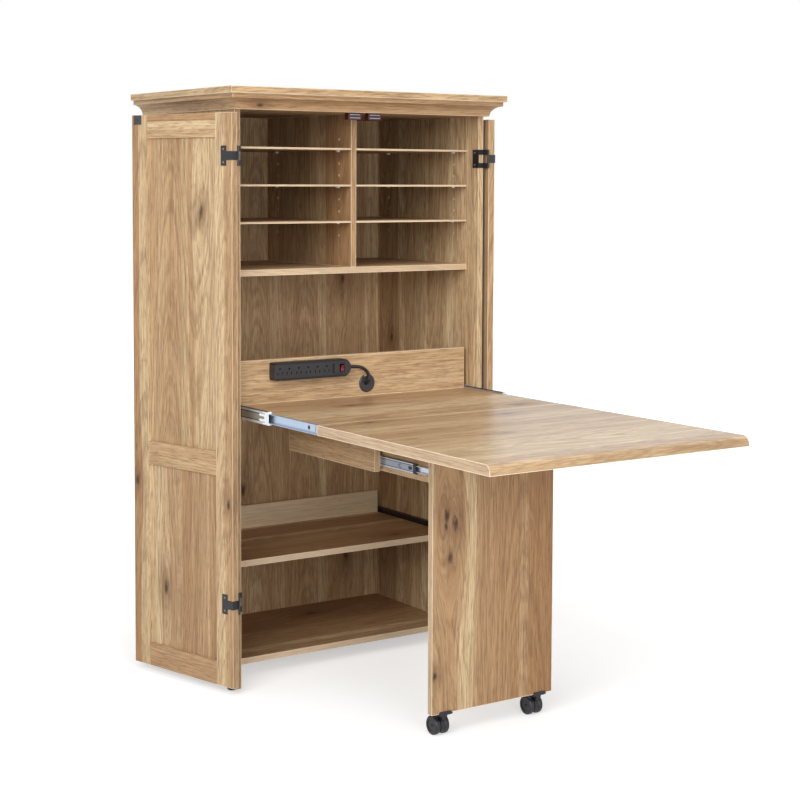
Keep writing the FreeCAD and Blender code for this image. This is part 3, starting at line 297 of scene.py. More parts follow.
# Planks: shifts from board to board and lane to lane, and the arches of the growth lines
FACING = 0.7
LANE_SEED = 7.13
CHANCE_SEED = 3.7
LANE_SLIP = 9.0
HEART_SPREAD = 1.1
SWAY_REACH = 0.03
ARCH_STEEPNESS = 2600.0
ARCH_RATE = 30.0
ARCH_FUZZ = 1.8
DEPTH_RATE = 160.0
LANE_SPREAD = 40.0
FIGURE_DRIFT = 0.7

# Weights of the colours
BROWN_FLOOR = 0.35
BROWN_SHARE = 0.9
SAP_EDGE = 0.27
SAP_CHANCE = 0.45
SAP_SHARE = 0.6
STRIP_SWAY = 0.012
STREAK_SHARE = 0.36
ARCHED_SHARE = 0.36
STRAIGHT_SHARE = 0.12
FIBRE_SHARE = 0.42
PORE_SHARE = 0.5
HALO_SHARE = 0.6
ARRIS_HIGHLIGHT_SHARE = 0.55
EDGE_PITCH = 0.0055
EDGE_BEND = 34.0

# Finish
OAK_SPECULAR = 0.3
OAK_ROUGH = 0.44
OAK_ROUGH_SPREAD = 0.18
GLOSS_DIVISOR = 3
FIBRE_HEIGHT = 0.5
PORE_DEPTH = 0.7
OAK_BUMP = (0.25, 0.0006)


def is_facing(g, normal):
    """One where a face looks along an axis, given its normal there."""
    return g.math("GREATER_THAN", g.math("ABSOLUTE", normal), FACING)


def growth_phase(g, side, shifted, way, fine, deep):
    """Counts growth rings: parabolas along the lane, with fuzz, that move on with depth."""
    arch = g.math("MULTIPLY", g.math("MULTIPLY", side, side), ARCH_STEEPNESS)
    climb = g.math("MULTIPLY", g.math("MULTIPLY", shifted, way), ARCH_RATE)
    fuzzy = g.math("ADD", g.math("ADD", arch, climb), g.math("MULTIPLY", fine, ARCH_FUZZ))
    return g.math("ADD", fuzzy, g.math("MULTIPLY", deep, DEPTH_RATE))


def lined_edge(g, body, facing, grown, share):
    """Wavy growth lines on a board's edge."""
    bend = g.math("MULTIPLY", g.noise(g.stretch(grown, EDGE_SCALES)), EDGE_BEND)
    wave = g.math("SINE", g.math("ADD", g.math("MULTIPLY", grown[2], math.tau / EDGE_PITCH), bend))
    ribbed = g.math("MULTIPLY", g.curve(wave, EDGE_CURVE), share)
    return g.mix(g.math("MULTIPLY", facing, ribbed), body, LINE_OAK)


def oak(name, grain, seed, plank, turn):
    """Rustic oak for one node: planks with sapwood, arched growth lines, fibres, pores, knots, edge bands,
    and a painted highlight along the arrises.
    """
    g = Graph("oak_" + name)
    places = g.split("Object", turn)
    normals = g.split("Normal", turn)
    along, across, deep = [places[index] for index in GRAINS[grain]]
    end = is_facing(g, normals[GRAINS[grain][0]])
    along = g.math("ADD", along, g.math("MULTIPLY", end, g.math("SUBTRACT", across, along)))
    across = g.math("ADD", across, g.math("MULTIPLY", end, g.math("SUBTRACT", deep, across)))
    fine = g.noise(g.stretch((along, across, deep), FINE_SCALES))
    rough = g.noise(g.stretch((along, across, deep), ROUGH_SCALES))
    dark, halo, flowed = knot_field(g, along, across, rough, KNOTS.get(name, ()))

    lane = g.math("ADD", g.math("DIVIDE", flowed, plank), seed * LANE_SEED)
    chance = g.add("ShaderNodeTexWhiteNoise", noise_dimensions="1D")
    g.put(chance.inputs["W"], g.math("ADD", g.math("FLOOR", lane), seed * CHANCE_SEED))
    picks = g.add("ShaderNodeSeparateXYZ")
    g.put(picks.inputs[0], chance.outputs["Color"])
    pick_a, pick_b, pick_c = picks.outputs
    in_lane = g.math("MULTIPLY", g.math("SUBTRACT", g.math("FRACT", lane), 0.5), plank)
    shifted = g.math("ADD", along, g.math("MULTIPLY", pick_a, LANE_SLIP))
    grown = (shifted, flowed, deep)

    sway = g.math("SUBTRACT", g.noise(g.stretch(grown, SWAY_SCALES)), NOISE_MIDDLE)
    heart = g.math("MULTIPLY", g.math("SUBTRACT", pick_b, 0.5), plank * HEART_SPREAD)
    side = g.math("ADD", g.math("SUBTRACT", in_lane, heart), g.math("MULTIPLY", sway, SWAY_REACH))
    way = g.math("SUBTRACT", g.math("MULTIPLY", g.math("GREATER_THAN", pick_a, 0.5), 2.0), 1.0)
    phase = growth_phase(g, side, shifted, way, fine, deep)
    lane_phase = g.math("MULTIPLY", pick_b, LANE_SPREAD)
    figure = g.noise(g.combine(phase, lane_phase, g.math("MULTIPLY", shifted, FIGURE_DRIFT)))
    lines = g.curve(figure, LINE_CURVE)
    zone = g.curve(g.noise(g.stretch(grown, ZONE_SCALES)), ZONE_CURVE)
    streak = g.curve(g.noise(g.stretch(grown, STREAK_SCALES), detail=STREAK_DETAIL), STREAK_CURVE)
    fibre = g.noise(g.stretch(grown, FIBRE_SCALES), rough=FIBRE_ROUGH)
    pores = g.curve(g.noise(g.stretch(grown, PORE_SCALES), rough=FIBRE_ROUGH), PORE_CURVE)

    body = g.mix(zone, PALE_OAK, MID_OAK)
    # The board's own tone, plus the painted shade and painted light that the tones table holds for some
    # boards
    brown = g.math("SUBTRACT", pick_c, BROWN_FLOOR - TONES_AND_PAINTED_LIGHT.get(name, 0.0))
    body = g.mix(g.math("MULTIPLY", brown, BROWN_SHARE, True), body, BROWN_OAK)
    at_edge = g.math("GREATER_THAN", in_lane, plank * SAP_EDGE)
    sap = g.math("MULTIPLY", at_edge, g.math("GREATER_THAN", pick_b, SAP_CHANCE))
    body = g.mix(g.math("MULTIPLY", sap, SAP_SHARE), body, SAP_OAK)
    wavy = g.math("ADD", flowed, g.math("MULTIPLY", sway, STRIP_SWAY))
    for low, high, tint, weight in STRIPS.get(name, ()):
        inside = g.math("MULTIPLY", g.math("GREATER_THAN", wavy, low), g.math("LESS_THAN", wavy, high))
        body = g.mix(g.math("MULTIPLY", inside, weight), body, tint)
    line_share = STRAIGHT_SHARE if grain in STRAIGHT_GRAINS else ARCHED_SHARE
    body = g.mix(g.math("MULTIPLY", streak, STREAK_SHARE), body, BROWN_OAK)
    body = g.mix(g.math("MULTIPLY", lines, line_share), body, LINE_OAK)
    body = g.mix(g.math("MULTIPLY", g.curve(fibre, STREAK_CURVE), FIBRE_SHARE), body, LINE_OAK)
    body = g.mix(g.math("MULTIPLY", pores, PORE_SHARE), body, LINE_OAK)
    if dark:
        body = g.mix(g.math("MULTIPLY", halo, HALO_SHARE), body, LINE_OAK)
        body = g.mix(dark, body, KNOT_OAK)
    if name in BANDED:
        axis, weight, tint = BANDED[name]
        facing = is_facing(g, normals[axis])
        body = g.mix(g.math("MULTIPLY", facing, weight), body, tint)
        if name in LINED_EDGES:
            body = lined_edge(g, body, facing, grown, LINED_EDGES[name])
    # A painted highlight along the board's arrises
    arris_highlight = arris_highlight_mask(g, places, normals, turned_box(name, turn))
    body = g.mix(g.math("MULTIPLY", arris_highlight, ARRIS_HIGHLIGHTS.get(name, ARRIS_HIGHLIGHT_SHARE)), body, EDGE_BAND_AND_HIGHLIGHT_OAK)

    gloss = GLOSSES.get(name, 0.0)
    base_rough = OAK_ROUGH - gloss / GLOSS_DIVISOR
    raised = g.math("MULTIPLY", fibre, FIBRE_HEIGHT)
    g.set(color=body, specular=OAK_SPECULAR + gloss)
    g.set(rough=g.math("ADD", g.math("MULTIPLY", fibre, OAK_ROUGH_SPREAD), base_rough))
    g.bump(g.math("SUBTRACT", raised, g.math("MULTIPLY", pores, PORE_DEPTH)), *OAK_BUMP)
    return g.material


# Fine grain and clouds of moulded stuff
GRAIN_SHARE = 0.6
CLOUD_SHARE = 0.4
CLOUD_RATIO = 40
CLOUD_DETAIL = 3.0
CLOUD_ROUGH = 0.16
BLEND_CURVE = ((0.3, 0.0), (0.7, 1.0))
MOULDED_BUMP = (0.3, 0.0002)


def moulded(name, color, rough, metal=0.0, scale=900.0, spread=0.12, coat=0.0, bands=()):
    """Moulded or coated stuff with a fine grain in colour, gloss and height, tinted outside its bands."""
    g = Graph(name)
    places = g.split("Object", 0.0)
    whole = g.combine(*places)
    grain = g.noise(whole, scale)
    cloud = g.noise(whole, scale / CLOUD_RATIO, CLOUD_DETAIL)
    blend = g.math("ADD", g.math("MULTIPLY", grain, GRAIN_SHARE), g.math("MULTIPLY", cloud, CLOUD_SHARE))
    low = tuple(level * (1 - spread) for level in color)
    high = tuple(min(1.0, level * (1 + spread)) for level in color)
    body = g.mix(g.curve(blend, BLEND_CURVE), low, high)
    for axis, centre, half, tint in bands:
        away = g.math("ABSOLUTE", g.math("SUBTRACT", places[axis], centre))
        body = g.mix(g.math("GREATER_THAN", away, half), body, tint)
    g.set(color=body, metal=metal, coat=coat)
    g.set(rough=g.math("ADD", g.math("MULTIPLY", cloud, CLOUD_ROUGH), rough - CLOUD_ROUGH / 2))
    g.bump(grain, *MOULDED_BUMP)
    return g.material


# Lengthwise streaks and clouds of drawn metal
DRAWN_SCALES = (900.0, 14.0, 900.0)
DRAWN_CLOUD = 35.0
DRAWN_DARK = 0.78
DRAWN_METAL = 0.85
DRAWN_ROUGH = 0.2
DRAWN_BUMP = (0.15, 0.0002)


def drawn_metal(name, color, rough, bands=()):
    """Zinc-plated steel drawn lengthwise: streaks, a slight cloud and tinted bands."""
    g = Graph(name)
    places = g.split("Object", 0.0)
    streak = g.noise(g.stretch(places, DRAWN_SCALES))
    cloud = g.noise(g.combine(*places), DRAWN_CLOUD, CLOUD_DETAIL)
    low = tuple(level * DRAWN_DARK for level in color)
    body = g.mix(g.math("MULTIPLY", g.math("ADD", streak, cloud), 0.5), low, color)
    for axis, centre, half, tint in bands:
        away = g.math("ABSOLUTE", g.math("SUBTRACT", places[axis], centre))
        body = g.mix(g.math("LESS_THAN", away, half), body, tint)
    g.set(color=body, metal=DRAWN_METAL)
    g.set(rough=g.math("ADD", g.math("MULTIPLY", streak, DRAWN_ROUGH), rough))
    g.bump(streak, *DRAWN_BUMP)
    return g.material


def dress(node, material):
    data = NODES[node].data
    data.materials.clear()
    data.materials.append(material)


def middle(node, axis):
    """Where the middle of a node is on an axis."""
    return sum(corner[axis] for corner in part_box(node)) / 2


SLIDE_LEVEL = middle("slide_middle_members", Z)
LEG_SLIDE_LEVEL = middle("leg_slide_middle_members", Z)

# Half sizes of the power strip's face and the rocker's lens, which have black rims
STRIP_FACE = 0.0174
LENS_WIDE = 0.0043
LENS_HIGH = 0.0070
RIM_BLACK = linear(12, 11, 12)
FACE_ZINC = linear(138, 134, 122)
# Painted shade for the grooves and the ball row of the slides' middle members
PAINTED_SHADE_ZINC = linear(52, 54, 58)
LEG_FACE_ZINC = linear(146, 151, 162)
STRIP_BANDS = ((Z, middle("power_strip", Z), STRIP_FACE, RIM_BLACK),)
ROCKER_BANDS = ((X, middle("rocker", X), LENS_WIDE, RIM_BLACK),
                (Z, middle("rocker", Z), LENS_HIGH, RIM_BLACK))


def race_bands(level, tint, face, line, width, top):
    """Bands of a middle slide member: a darker face, painted shade as dark lines in the grooves beside it,
    and painted shade as a dark band over the row of balls on top.
    """
    dark = [(Z, place, width, PAINTED_SHADE_ZINC) for place in (level - line, level + line, level + top)]
    return [(Z, level, face, tint)] + dark


SLIDE_BANDS = race_bands(SLIDE_LEVEL, FACE_ZINC, face=0.0078, line=0.0088, width=0.0012, top=0.0166)
LEG_SLIDE_BANDS = race_bands(LEG_SLIDE_LEVEL, LEG_FACE_ZINC, face=0.0066, line=0.0073, width=0.0008,
                             top=0.0117)

BLACK_METAL = moulded("black_metal", linear(39, 38, 42), rough=0.45, metal=0.3, scale=1500.0, spread=0.18)
BLACK_PLASTIC = moulded("black_plastic", linear(19, 18, 21), rough=0.5, scale=1200.0)
WHEEL_BLACK = moulded("wheel_black", linear(27, 26, 30), rough=0.42, scale=700.0)
GROMMET_GREY = moulded("grommet_grey", linear(52, 50, 53), rough=0.45, scale=1200.0)
STRIP_GREY = moulded("strip_grey", linear(40, 38, 43), rough=0.46, scale=1400.0, bands=STRIP_BANDS)
CORD_BLACK = moulded("cord_black", linear(28, 26, 29), rough=0.5, scale=800.0)
MAROON = moulded("maroon_plastic", linear(72, 27, 27), rough=0.35)
ROCKER_RED = moulded("rocker_red", linear(136, 22, 42), rough=0.3, scale=600.0, spread=0.2, coat=0.2,
                     bands=ROCKER_BANDS)
# The strike plate: the black metal made lighter grey, partly its own steel grey and partly painted light
# where it faces the key lamp
STRIKE_GREY_AND_PAINTED_LIGHT = moulded("strike_grey_and_painted_light", linear(60, 59, 61), rough=0.45, metal=0.3, scale=1500.0, spread=0.18)
RUNNER_BROWN = moulded("runner_brown", linear(48, 34, 28), rough=0.5, scale=800.0)
RETAINER_WHITE = moulded("retainer_white", linear(226, 229, 231), rough=0.4, scale=700.0, spread=0.06)
SCREW_GREY = moulded("screw_grey", linear(116, 112, 106), rough=0.4, metal=0.5, scale=1500.0, spread=0.2)
PIN_GREY = moulded("pin_grey", linear(236, 237, 240), rough=0.35, spread=0.06)
CHIP_PALE = moulded("chip_pale", linear(226, 200, 164), rough=0.7, scale=1600.0, spread=0.2)
ZINC = drawn_metal("zinc", linear(184, 200, 219), rough=0.26)
# The leg slide's arm: zinc painted paler than the rest as painted light, because the arm lies in the leaf's
# shade
ARM_ZINC_PAINTED_LIGHT = drawn_metal("arm_zinc_painted_light", linear(206, 213, 227), rough=0.3)
RACE_ZINC = drawn_metal("race_zinc", linear(190, 194, 198), rough=0.3, bands=SLIDE_BANDS)
LEG_RACE_ZINC = drawn_metal("leg_race_zinc", linear(188, 195, 207), rough=0.32, bands=LEG_SLIDE_BANDS)

# Knots seen on the boards: place along the grain, place across it, radius
KNOTS = {
    "leg_panel": ((0.528, -0.139, 0.010), (0.506, -0.113, 0.012), (0.500, -0.142, 0.006),
                  (0.425, -0.130, 0.008), (0.150, -0.172, 0.007)),
    "door_left_upper_panel": ((1.2228, 0.4498, 0.010),),
    "door_left_lower_panel": ((0.237, 0.592, 0.011),),
    "door_left_hinge_stile": ((0.49, 0.345, 0.007),),
    "door_left_free_stile": ((0.51, 0.70, 0.008),),
    "worktop": ((-0.113, 0.152, 0.011), (0.276, -0.060, 0.008)),
    "drop_leaf": ((-0.236, -0.132, 0.008), (0.132, -0.187, 0.011), (-0.071, -0.441, 0.006)),
    "bottom_panel": ((0.079, 0.664, 0.012),),
    "lower_shelf": ((0.224, 0.438, 0.009),),
    "back_panel": ((1.02, 0.2445, 0.010), (0.418, -0.092, 0.014), (0.184, 0.26, 0.009)),
    "side_right": ((0.843, 0.684, 0.008),),
    "cornice_front": ((-0.328, 1.493, 0.006),)}

# How much browner or paler than usual a board is: its own tone, with painted shade added on the bottom panel,
# lower shelf, divider and front cornice, and painted light on the back panel
TONES_AND_PAINTED_LIGHT = {
    "power_board": -0.3, "lower_stop": -0.4, "top_board": -0.2, "drop_leaf": -0.1, "back_panel": -0.2,
    "leg_panel": 0.7, "divider": 0.4, "aprons": 0.3, "bottom_panel": 0.9, "lower_shelf": 0.7,
    "cornice_front": 0.6, "cornice_left": -0.2, "door_left_lower_panel": 0.5, "door_left_upper_panel": 0.1,
    "door_left_hinge_stile": 0.2, "door_left_free_stile": 0.2, "door_left_rails": 0.3,
    "door_right_hinge_stile": 0.6}

# Which way a board's edge band faces, with its weight and colour, and how strong its lines are
BANDED = {
    "fixed_shelf": (Y, 0.35, EDGE_BAND_AND_HIGHLIGHT_OAK), "lower_shelf": (Y, 0.5, EDGE_BAND_AND_HIGHLIGHT_OAK), "bottom_panel": (Y, 0.5, EDGE_BAND_AND_HIGHLIGHT_OAK),
    "lower_stop": (Y, 0.5, EDGE_BAND_AND_HIGHLIGHT_OAK), "leg_panel": (X, 0.27, EDGE_BAND_AND_HIGHLIGHT_OAK), "drop_leaf": (Y, 0.2, GOLD_OAK)}
LINED_EDGES = {"drop_leaf": 0.32}

# How strong the painted highlight on a board's arrises is, and how glossy the board is
ARRIS_HIGHLIGHTS = {"drop_leaf": 0.95, "leg_panel": 0.8}
GLOSSES = {"drop_leaf": 0.62, "worktop": 0.35}

# Pale and brown strips seen on the boards: from and to across the grain, colour, weight
STRIPS = {
    "leg_panel": ((-0.165, -0.125, BROWN_OAK, 0.25), (-0.106, -0.062, SAP_OAK, 0.75),
                  (-0.050, 0.055, BROWN_OAK, 0.25), (0.055, 0.140, BROWN_OAK, 0.6)),
    "lower_stop": ((0.0, 1.0, SAP_OAK, 0.6),),
    "door_left_upper_panel": ((0.395, 0.475, SAP_OAK, 0.55), (0.500, 0.580, BROWN_OAK, 0.35)),
    "door_left_lower_panel": ((0.600, 0.660, SAP_OAK, 0.6), (0.490, 0.585, BROWN_OAK, 0.5),
                              (0.385, 0.425, BROWN_OAK, 0.5)),
    "door_left_free_stile": ((0.655, 0.688, SAP_OAK, 0.6), (0.688, 0.730, BROWN_OAK, 0.3)),
    "door_left_hinge_stile": ((0.357, 0.400, SAP_OAK, 0.5), (0.300, 0.352, BROWN_OAK, 0.4)),
    "worktop": ((0.0, 0.11, SAP_OAK, 0.5), (0.14, 0.28, BROWN_OAK, 0.45), (-0.07, -0.02, BROWN_OAK, 0.3)),
    "drop_leaf": ((-0.25, -0.215, SAP_OAK, 0.6), (-0.70, -0.52, SAP_OAK, 0.5),
                  (-0.19, -0.13, BROWN_OAK, 0.4), (-0.37, -0.29, BROWN_OAK, 0.4))}

# The run of a board's grain, and how wide its planks are
BOARDS = {
    "top_board": ("X", 0.14), "ceiling_panel": ("X", 0.12), "fixed_shelf": ("X", 0.12),
    "lower_shelf": ("X", 0.13), "bottom_panel": ("X", 0.13), "worktop": ("X", 0.11), "drop_leaf": ("X", 0.12),
    "cornice_front": ("XZ", 0.2), "lower_stop": ("XZ", 0.2), "power_board": ("XZ", 0.2),
    "aprons": ("YZ", 0.2), "leg_arms": ("YZ", 0.2), "back_panel": ("Z", 0.13), "leg_panel": ("Z", 0.12),
    "divider": ("ZY", 0.12)}
DOOR_BOARDS = {
    "hinge_stile": ("Z", 0.1), "free_stile": ("Z", 0.1), "rails": ("XZ", 0.09), "upper_panel": ("Z", 0.13),
    "lower_panel": ("Z", 0.13)}
for label, _ in SIDES:
    BOARDS["side_" + label] = ("ZY", 0.125)
    BOARDS["cornice_" + label] = ("YZ", 0.2)
    BOARDS["small_shelves_" + label] = ("X", 0.14)
    BANDED["small_shelves_" + label] = (Y, 0.45, EDGE_BAND_AND_HIGHLIGHT_OAK)
    for part, board in DOOR_BOARDS.items():
        BOARDS["door_%s_%s" % (label, part)] = board
        if part != "hinge_stile":
            ARRIS_HIGHLIGHTS["door_%s_%s" % (label, part)] = 0.0

# How far the doors are open, and the turn that lays an open door along the cabinet's axes
OPEN_DEGREES = 256
OPEN_ANGLE = math.radians(OPEN_DEGREES)
TURNS = {label: side * math.radians(360 - OPEN_DEGREES) for label, side in SIDES}
FIRST_SEED = 3
for seed, (board_name, (board_grain, board_plank)) in enumerate(sorted(BOARDS.items()), FIRST_SEED):
    lean = TURNS[board_name.split("_")[1]] if board_name.startswith("door_") else 0.0
    dress(board_name, oak(board_name, board_grain, seed, board_plank, lean))

FITTINGS = (
    (BLACK_METAL, ("hinge_frame_leaves", "leaf_hinge_plates", "leaf_hinge_flaps", "caster_plates")),
    (ZINC, ("slide_cabinet_members", "slide_inner_members", "leg_slide_apron_members", "catch_poles")),
    (RACE_ZINC, ("slide_middle_members",)), (LEG_RACE_ZINC, ("leg_slide_middle_members",)),
    (ARM_ZINC_PAINTED_LIGHT, ("leg_slide_arm_members",)), (PIN_GREY, ("shelf_pins",)), (MAROON, ("catch_housings",)),
    (BLACK_PLASTIC, ("glides",)), (STRIP_GREY, ("power_strip",)), (ROCKER_RED, ("rocker",)),
    (GROMMET_GREY, ("grommet",)), (CORD_BLACK, ("power_cord",)), (RUNNER_BROWN, ("lower_runners",)))
for stuff, node_names in FITTINGS:
    for node_name in node_names:
        dress(node_name, stuff)
for label, _ in SIDES:
    for part in ("hinge_leaves", "handle"):
        dress("door_%s_%s" % (label, part), BLACK_METAL)
    dress("door_%s_strike" % label, STRIKE_GREY_AND_PAINTED_LIGHT)
    dress("caster_fork_" + label, BLACK_PLASTIC)
    dress("caster_wheels_" + label, WHEEL_BLACK)

# Cord: the route of the solid, in metres, as one smooth curve
CORD_DIAMETER = 0.0092
CORD_POINTS = ((-0.0285, 0.28645, 0.8145), (-0.0145, 0.28645, 0.8145), (0.011605, 0.28645, 0.810831),
               (0.0315, 0.28645, 0.793537), (0.0315, 0.28645, 0.7655), (0.0315, 0.32045, 0.7655))
CORD_ROUNDNESS = 6
CORD_SMOOTHNESS = 24


def make_cord():
    data = bpy.data.curves.new("strip_cord", "CURVE")
    data.dimensions = "3D"
    data.bevel_depth = CORD_DIAMETER / 2
    data.bevel_resolution = CORD_ROUNDNESS
    data.use_fill_caps = True
    data.resolution_u = CORD_SMOOTHNESS
    spline = data.splines.new("NURBS")
    spline.points.add(len(CORD_POINTS) - 1)
    for spot, place in zip(spline.points, CORD_POINTS):
        spot.co = place + (1.0,)
    spline.order_u = 3
    spline.use_endpoint_u = True
    cord = bpy.data.objects.new("strip_cord", data)
    SCENE.collection.objects.link(cord)
    data.materials.append(CORD_BLACK)
    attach(cord, "worktop")
    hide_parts("power_cord")


make_cord()


def add_piece(name, shape, body, material, smooth):
    """Turn a bmesh into a piece that rides a body."""
    mesh = bpy.data.meshes.new(name)
    bmesh.ops.recalc_face_normals(shape, faces=shape.faces)
    shape.to_mesh(mesh)
    shape.free()
    for face in mesh.polygons:
        face.use_smooth = smooth
    mesh.materials.append(material)
    piece = bpy.data.objects.new(name, mesh)
    SCENE.collection.objects.link(piece)
    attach(piece, body)


def bridge(shape, near, far):
    """Faces between two closed rows of as many points."""
    for index in range(len(near)):
        after = (index + 1) % len(near)
        shape.faces.new((near[index], near[after], far[after], far[index]))


def circle(steps):
    return [math.tau * step / steps for step in range(steps)]


# Outline of a screw head, from its rim to its recess: shares of its radius and of its rise
HEAD_SHARES = ((1.0, 0.0), (1.0, 0.3), (0.86, 0.72), (0.55, 0.95), (0.3, 1.0), (0.22, 0.45))
RECESS_SHARE = 0.4
HEAD_STEPS = 20
SCREW_RADIUS = 0.0031
SCREW_RISE = 0.0008


def screw_heads(name, body, material, heads, radius=SCREW_RADIUS):
    """Domed screw heads with a driver recess, each at a place and facing a way."""
    shape = bmesh.new()
    for place, way in heads:
        turn = Vector(way).to_track_quat("Z", "Y").to_matrix().to_4x4()
        stand = Matrix.Translation(place) @ turn
        rows = []
        for wide, high in HEAD_SHARES:
            reach, rise = radius * wide, SCREW_RISE * high
            spots = [Vector((reach * math.cos(angle), reach * math.sin(angle), rise))
                     for angle in circle(HEAD_STEPS)]
            rows.append([shape.verts.new(stand @ spot) for spot in spots])
        tip = shape.verts.new(stand @ Vector((0, 0, SCREW_RISE * RECESS_SHARE)))
        for lower, upper in zip(rows, rows[1:]):
            bridge(shape, lower, upper)
        for step in range(HEAD_STEPS):
            shape.faces.new((rows[-1][step], rows[-1][(step + 1) % HEAD_STEPS], tip))
        shape.faces.new(rows[0][::-1])
    add_piece(name, shape, body, material, True)


# Places on the right-hand door when it is closed and on its frame, from the hinge and strike sizes
PIN_PLACE = (0.3886, 0.23855)
DOOR_PINS = {side: Vector((side * PIN_PLACE[0], PIN_PLACE[1], 0)) for _, side in SIDES}
HINGE_SPANS = ((1.342, 1.392), (0.2095, 0.2595))
SCREW_INSET = 0.0085
LEAF_SKIN = 0.25975
LEAF_MIDDLE = 0.3565
FRAME_SKIN = 0.370
FRAME_MIDDLE = 0.2765
STRIKE_MIDDLE = 0.024
STRIKE_LEVEL = 1.46175
STRIKE_SKIN = 0.25945

# Screws of the worktop's slides; the front heads are black and wider than a screw head: a screw head with
# painted shade of its hole round it
SLIDE_SKIN = 0.360
SLIDE_SCREW_INSET = 0.045
SLIDE_SCREW_PITCH = 0.160
SLIDE_SCREWS = 3
SLIDE_HEAD_AND_SHADE_RADIUS = 0.0052


def swung(side, place):
    """A place on a closed door, moved to where the open door holds it."""
    pin = DOOR_PINS[side]
    return pin + Matrix.Rotation(OPEN_ANGLE * side, 3, "Z") @ (Vector(place) - pin)


def make_screws():
    for label, side in SIDES:
        door = "door_" + label
        facing = Matrix.Rotation(OPEN_ANGLE * side, 3, "Z") @ Vector((0, 1, 0))
        levels = [level for low, high in HINGE_SPANS for level in (low + SCREW_INSET, high - SCREW_INSET)]
        on_door = [(swung(side, (side * LEAF_MIDDLE, LEAF_SKIN, level)), facing) for level in levels]
        inward = Vector((-side, 0, 0))
        on_frame = [(Vector((side * FRAME_SKIN, FRAME_MIDDLE, level)), inward) for level in levels]
        on_strike = [(swung(side, (side * STRIKE_MIDDLE, STRIKE_SKIN, STRIKE_LEVEL)), facing)]
        screw_heads(door + "_screws", door, SCREW_GREY, on_door)
        screw_heads(door + "_strike_screw", door, BLACK_METAL, on_strike)
        screw_heads("frame_%s_screws" % label, "carcass", SCREW_GREY, on_frame)
    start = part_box("slide_inner_members")[0][Y] + SLIDE_SCREW_INSET
    ahead, behind = [], []
    for _, side in SIDES:
        outward = Vector((side, 0, 0))
        for index in range(SLIDE_SCREWS):
            place = Vector((side * SLIDE_SKIN, start + SLIDE_SCREW_PITCH * index, SLIDE_LEVEL))
            (behind if index else ahead).append((place, outward))
    # Front heads: black screw heads widened by a ring of painted shade of the hole
    screw_heads("slide_screws", "worktop", BLACK_PLASTIC, ahead, SLIDE_HEAD_AND_SHADE_RADIUS)
    screw_heads("slide_rear_screws", "worktop", ZINC, behind)


make_screws()


# Pin holes of the cubbies: rows from front to back, levels of the pins, and the walls with the way each looks
HOLE_ROWS = (0.37425, 0.70125)
PIN_LEVELS = (1.3841, 1.2881, 1.1921)
HOLE_PITCH = 0.032
HOLE_FACES = ((-0.3715, 1), (-0.008, -1), (0.008, 1), (0.3715, -1))

# The chipped rim that shows round each free hole
RIM_RADII = (0.0025, 0.0037)
RIM_RISE = 0.00015
RIM_STEPS = 14


def add_rim(shape, face, way, row, level):
    """A flat ring round a hole in a wall."""
    inner, outer = RIM_RADII
    rings = []
    for reach, rise in ((inner, -RIM_RISE), (outer, -RIM_RISE), (outer, RIM_RISE), (inner, RIM_RISE)):
        spots = [(face + way * rise, row + reach * math.cos(angle), level + reach * math.sin(angle))
                 for angle in circle(RIM_STEPS)]
        rings.append([shape.verts.new(spot) for spot in spots])
    for near, far in zip(rings, rings[1:] + rings[:1]):
        bridge(shape, near, far)


def make_hole_rims():
    shape = bmesh.new()
    levels = [level + HOLE_PITCH * step for level in PIN_LEVELS for step in (-1, 1)]
    for face, way in HOLE_FACES:
        for row in HOLE_ROWS:
            for level in levels:
                add_rim(shape, face, way, row, level)
    add_piece("pin_hole_rims", shape, "carcass", CHIP_PALE, False)


make_hole_rims()


def prism(shape, outline, axis, start, finish):
    """A bar along an axis, whose section is an outline of places along the other two."""
    ends = []
    for reach in (start, finish):
        places = [[first, second] for first, second in outline]
        for place in places:
            place.insert(axis, reach)
        ends.append([shape.verts.new(place) for place in places])
    near, far = ends
    bridge(shape, near, far)
    shape.faces.new(near)
    shape.faces.new(far[::-1])


# Gussets under the tongues of the shelf pins: length from the wall, height from the pin's middle
RIB_OUTLINE = ((0.0018, 0.0011), (0.0088, 0.0011), (0.0088, -0.0012), (0.0018, -0.0024))
RIB_HALF = 0.0043


def make_pin_ribs():
    shape = bmesh.new()
    for face, way in HOLE_FACES:
        for row in HOLE_ROWS:
            for level in PIN_LEVELS:
                outline = [(face + way * length, level + height) for length, height in RIB_OUTLINE]
                prism(shape, outline, Y, row - RIB_HALF, row + RIB_HALF)
    add_piece("pin_ribs", shape, "carcass", PIN_GREY, False)


make_pin_ribs()

# Sleeves on the slides: their wall, the height of their lips, and how far ahead of the members they reach
COLLAR_WALL = 0.0012
RETAINER_LIP = 0.0042
RETAINER_REACH = 0.006
LEG_LIP = 0.00355
NOSE_REACH = 0.022
STOP_REACH = 0.033

# Half outlines of the plastic skins on the slides: length from the front end, height from the middle
SKIN_THICK = 0.0002
RETAINER_HALF = ((0.0, 0.0155), (0.022, 0.0155), (0.022, 0.0125), (0.010, 0.0125), (0.010, 0.0095),
                 (0.036, 0.0095), (0.041, 0.0065), (0.036, 0.0035), (0.014, 0.0035))
HOOK_HALF = ((0.0365, 0.0005), (0.0345, 0.0026), (0.026, 0.0034), (0.026, 0.0046), (0.034, 0.0044),
             (0.0375, 0.0030), (0.0390, 0.0010))
CATCH_HALF = ((-0.018, 0.0034), (-0.008, 0.0046), (-0.003, 0.0028))


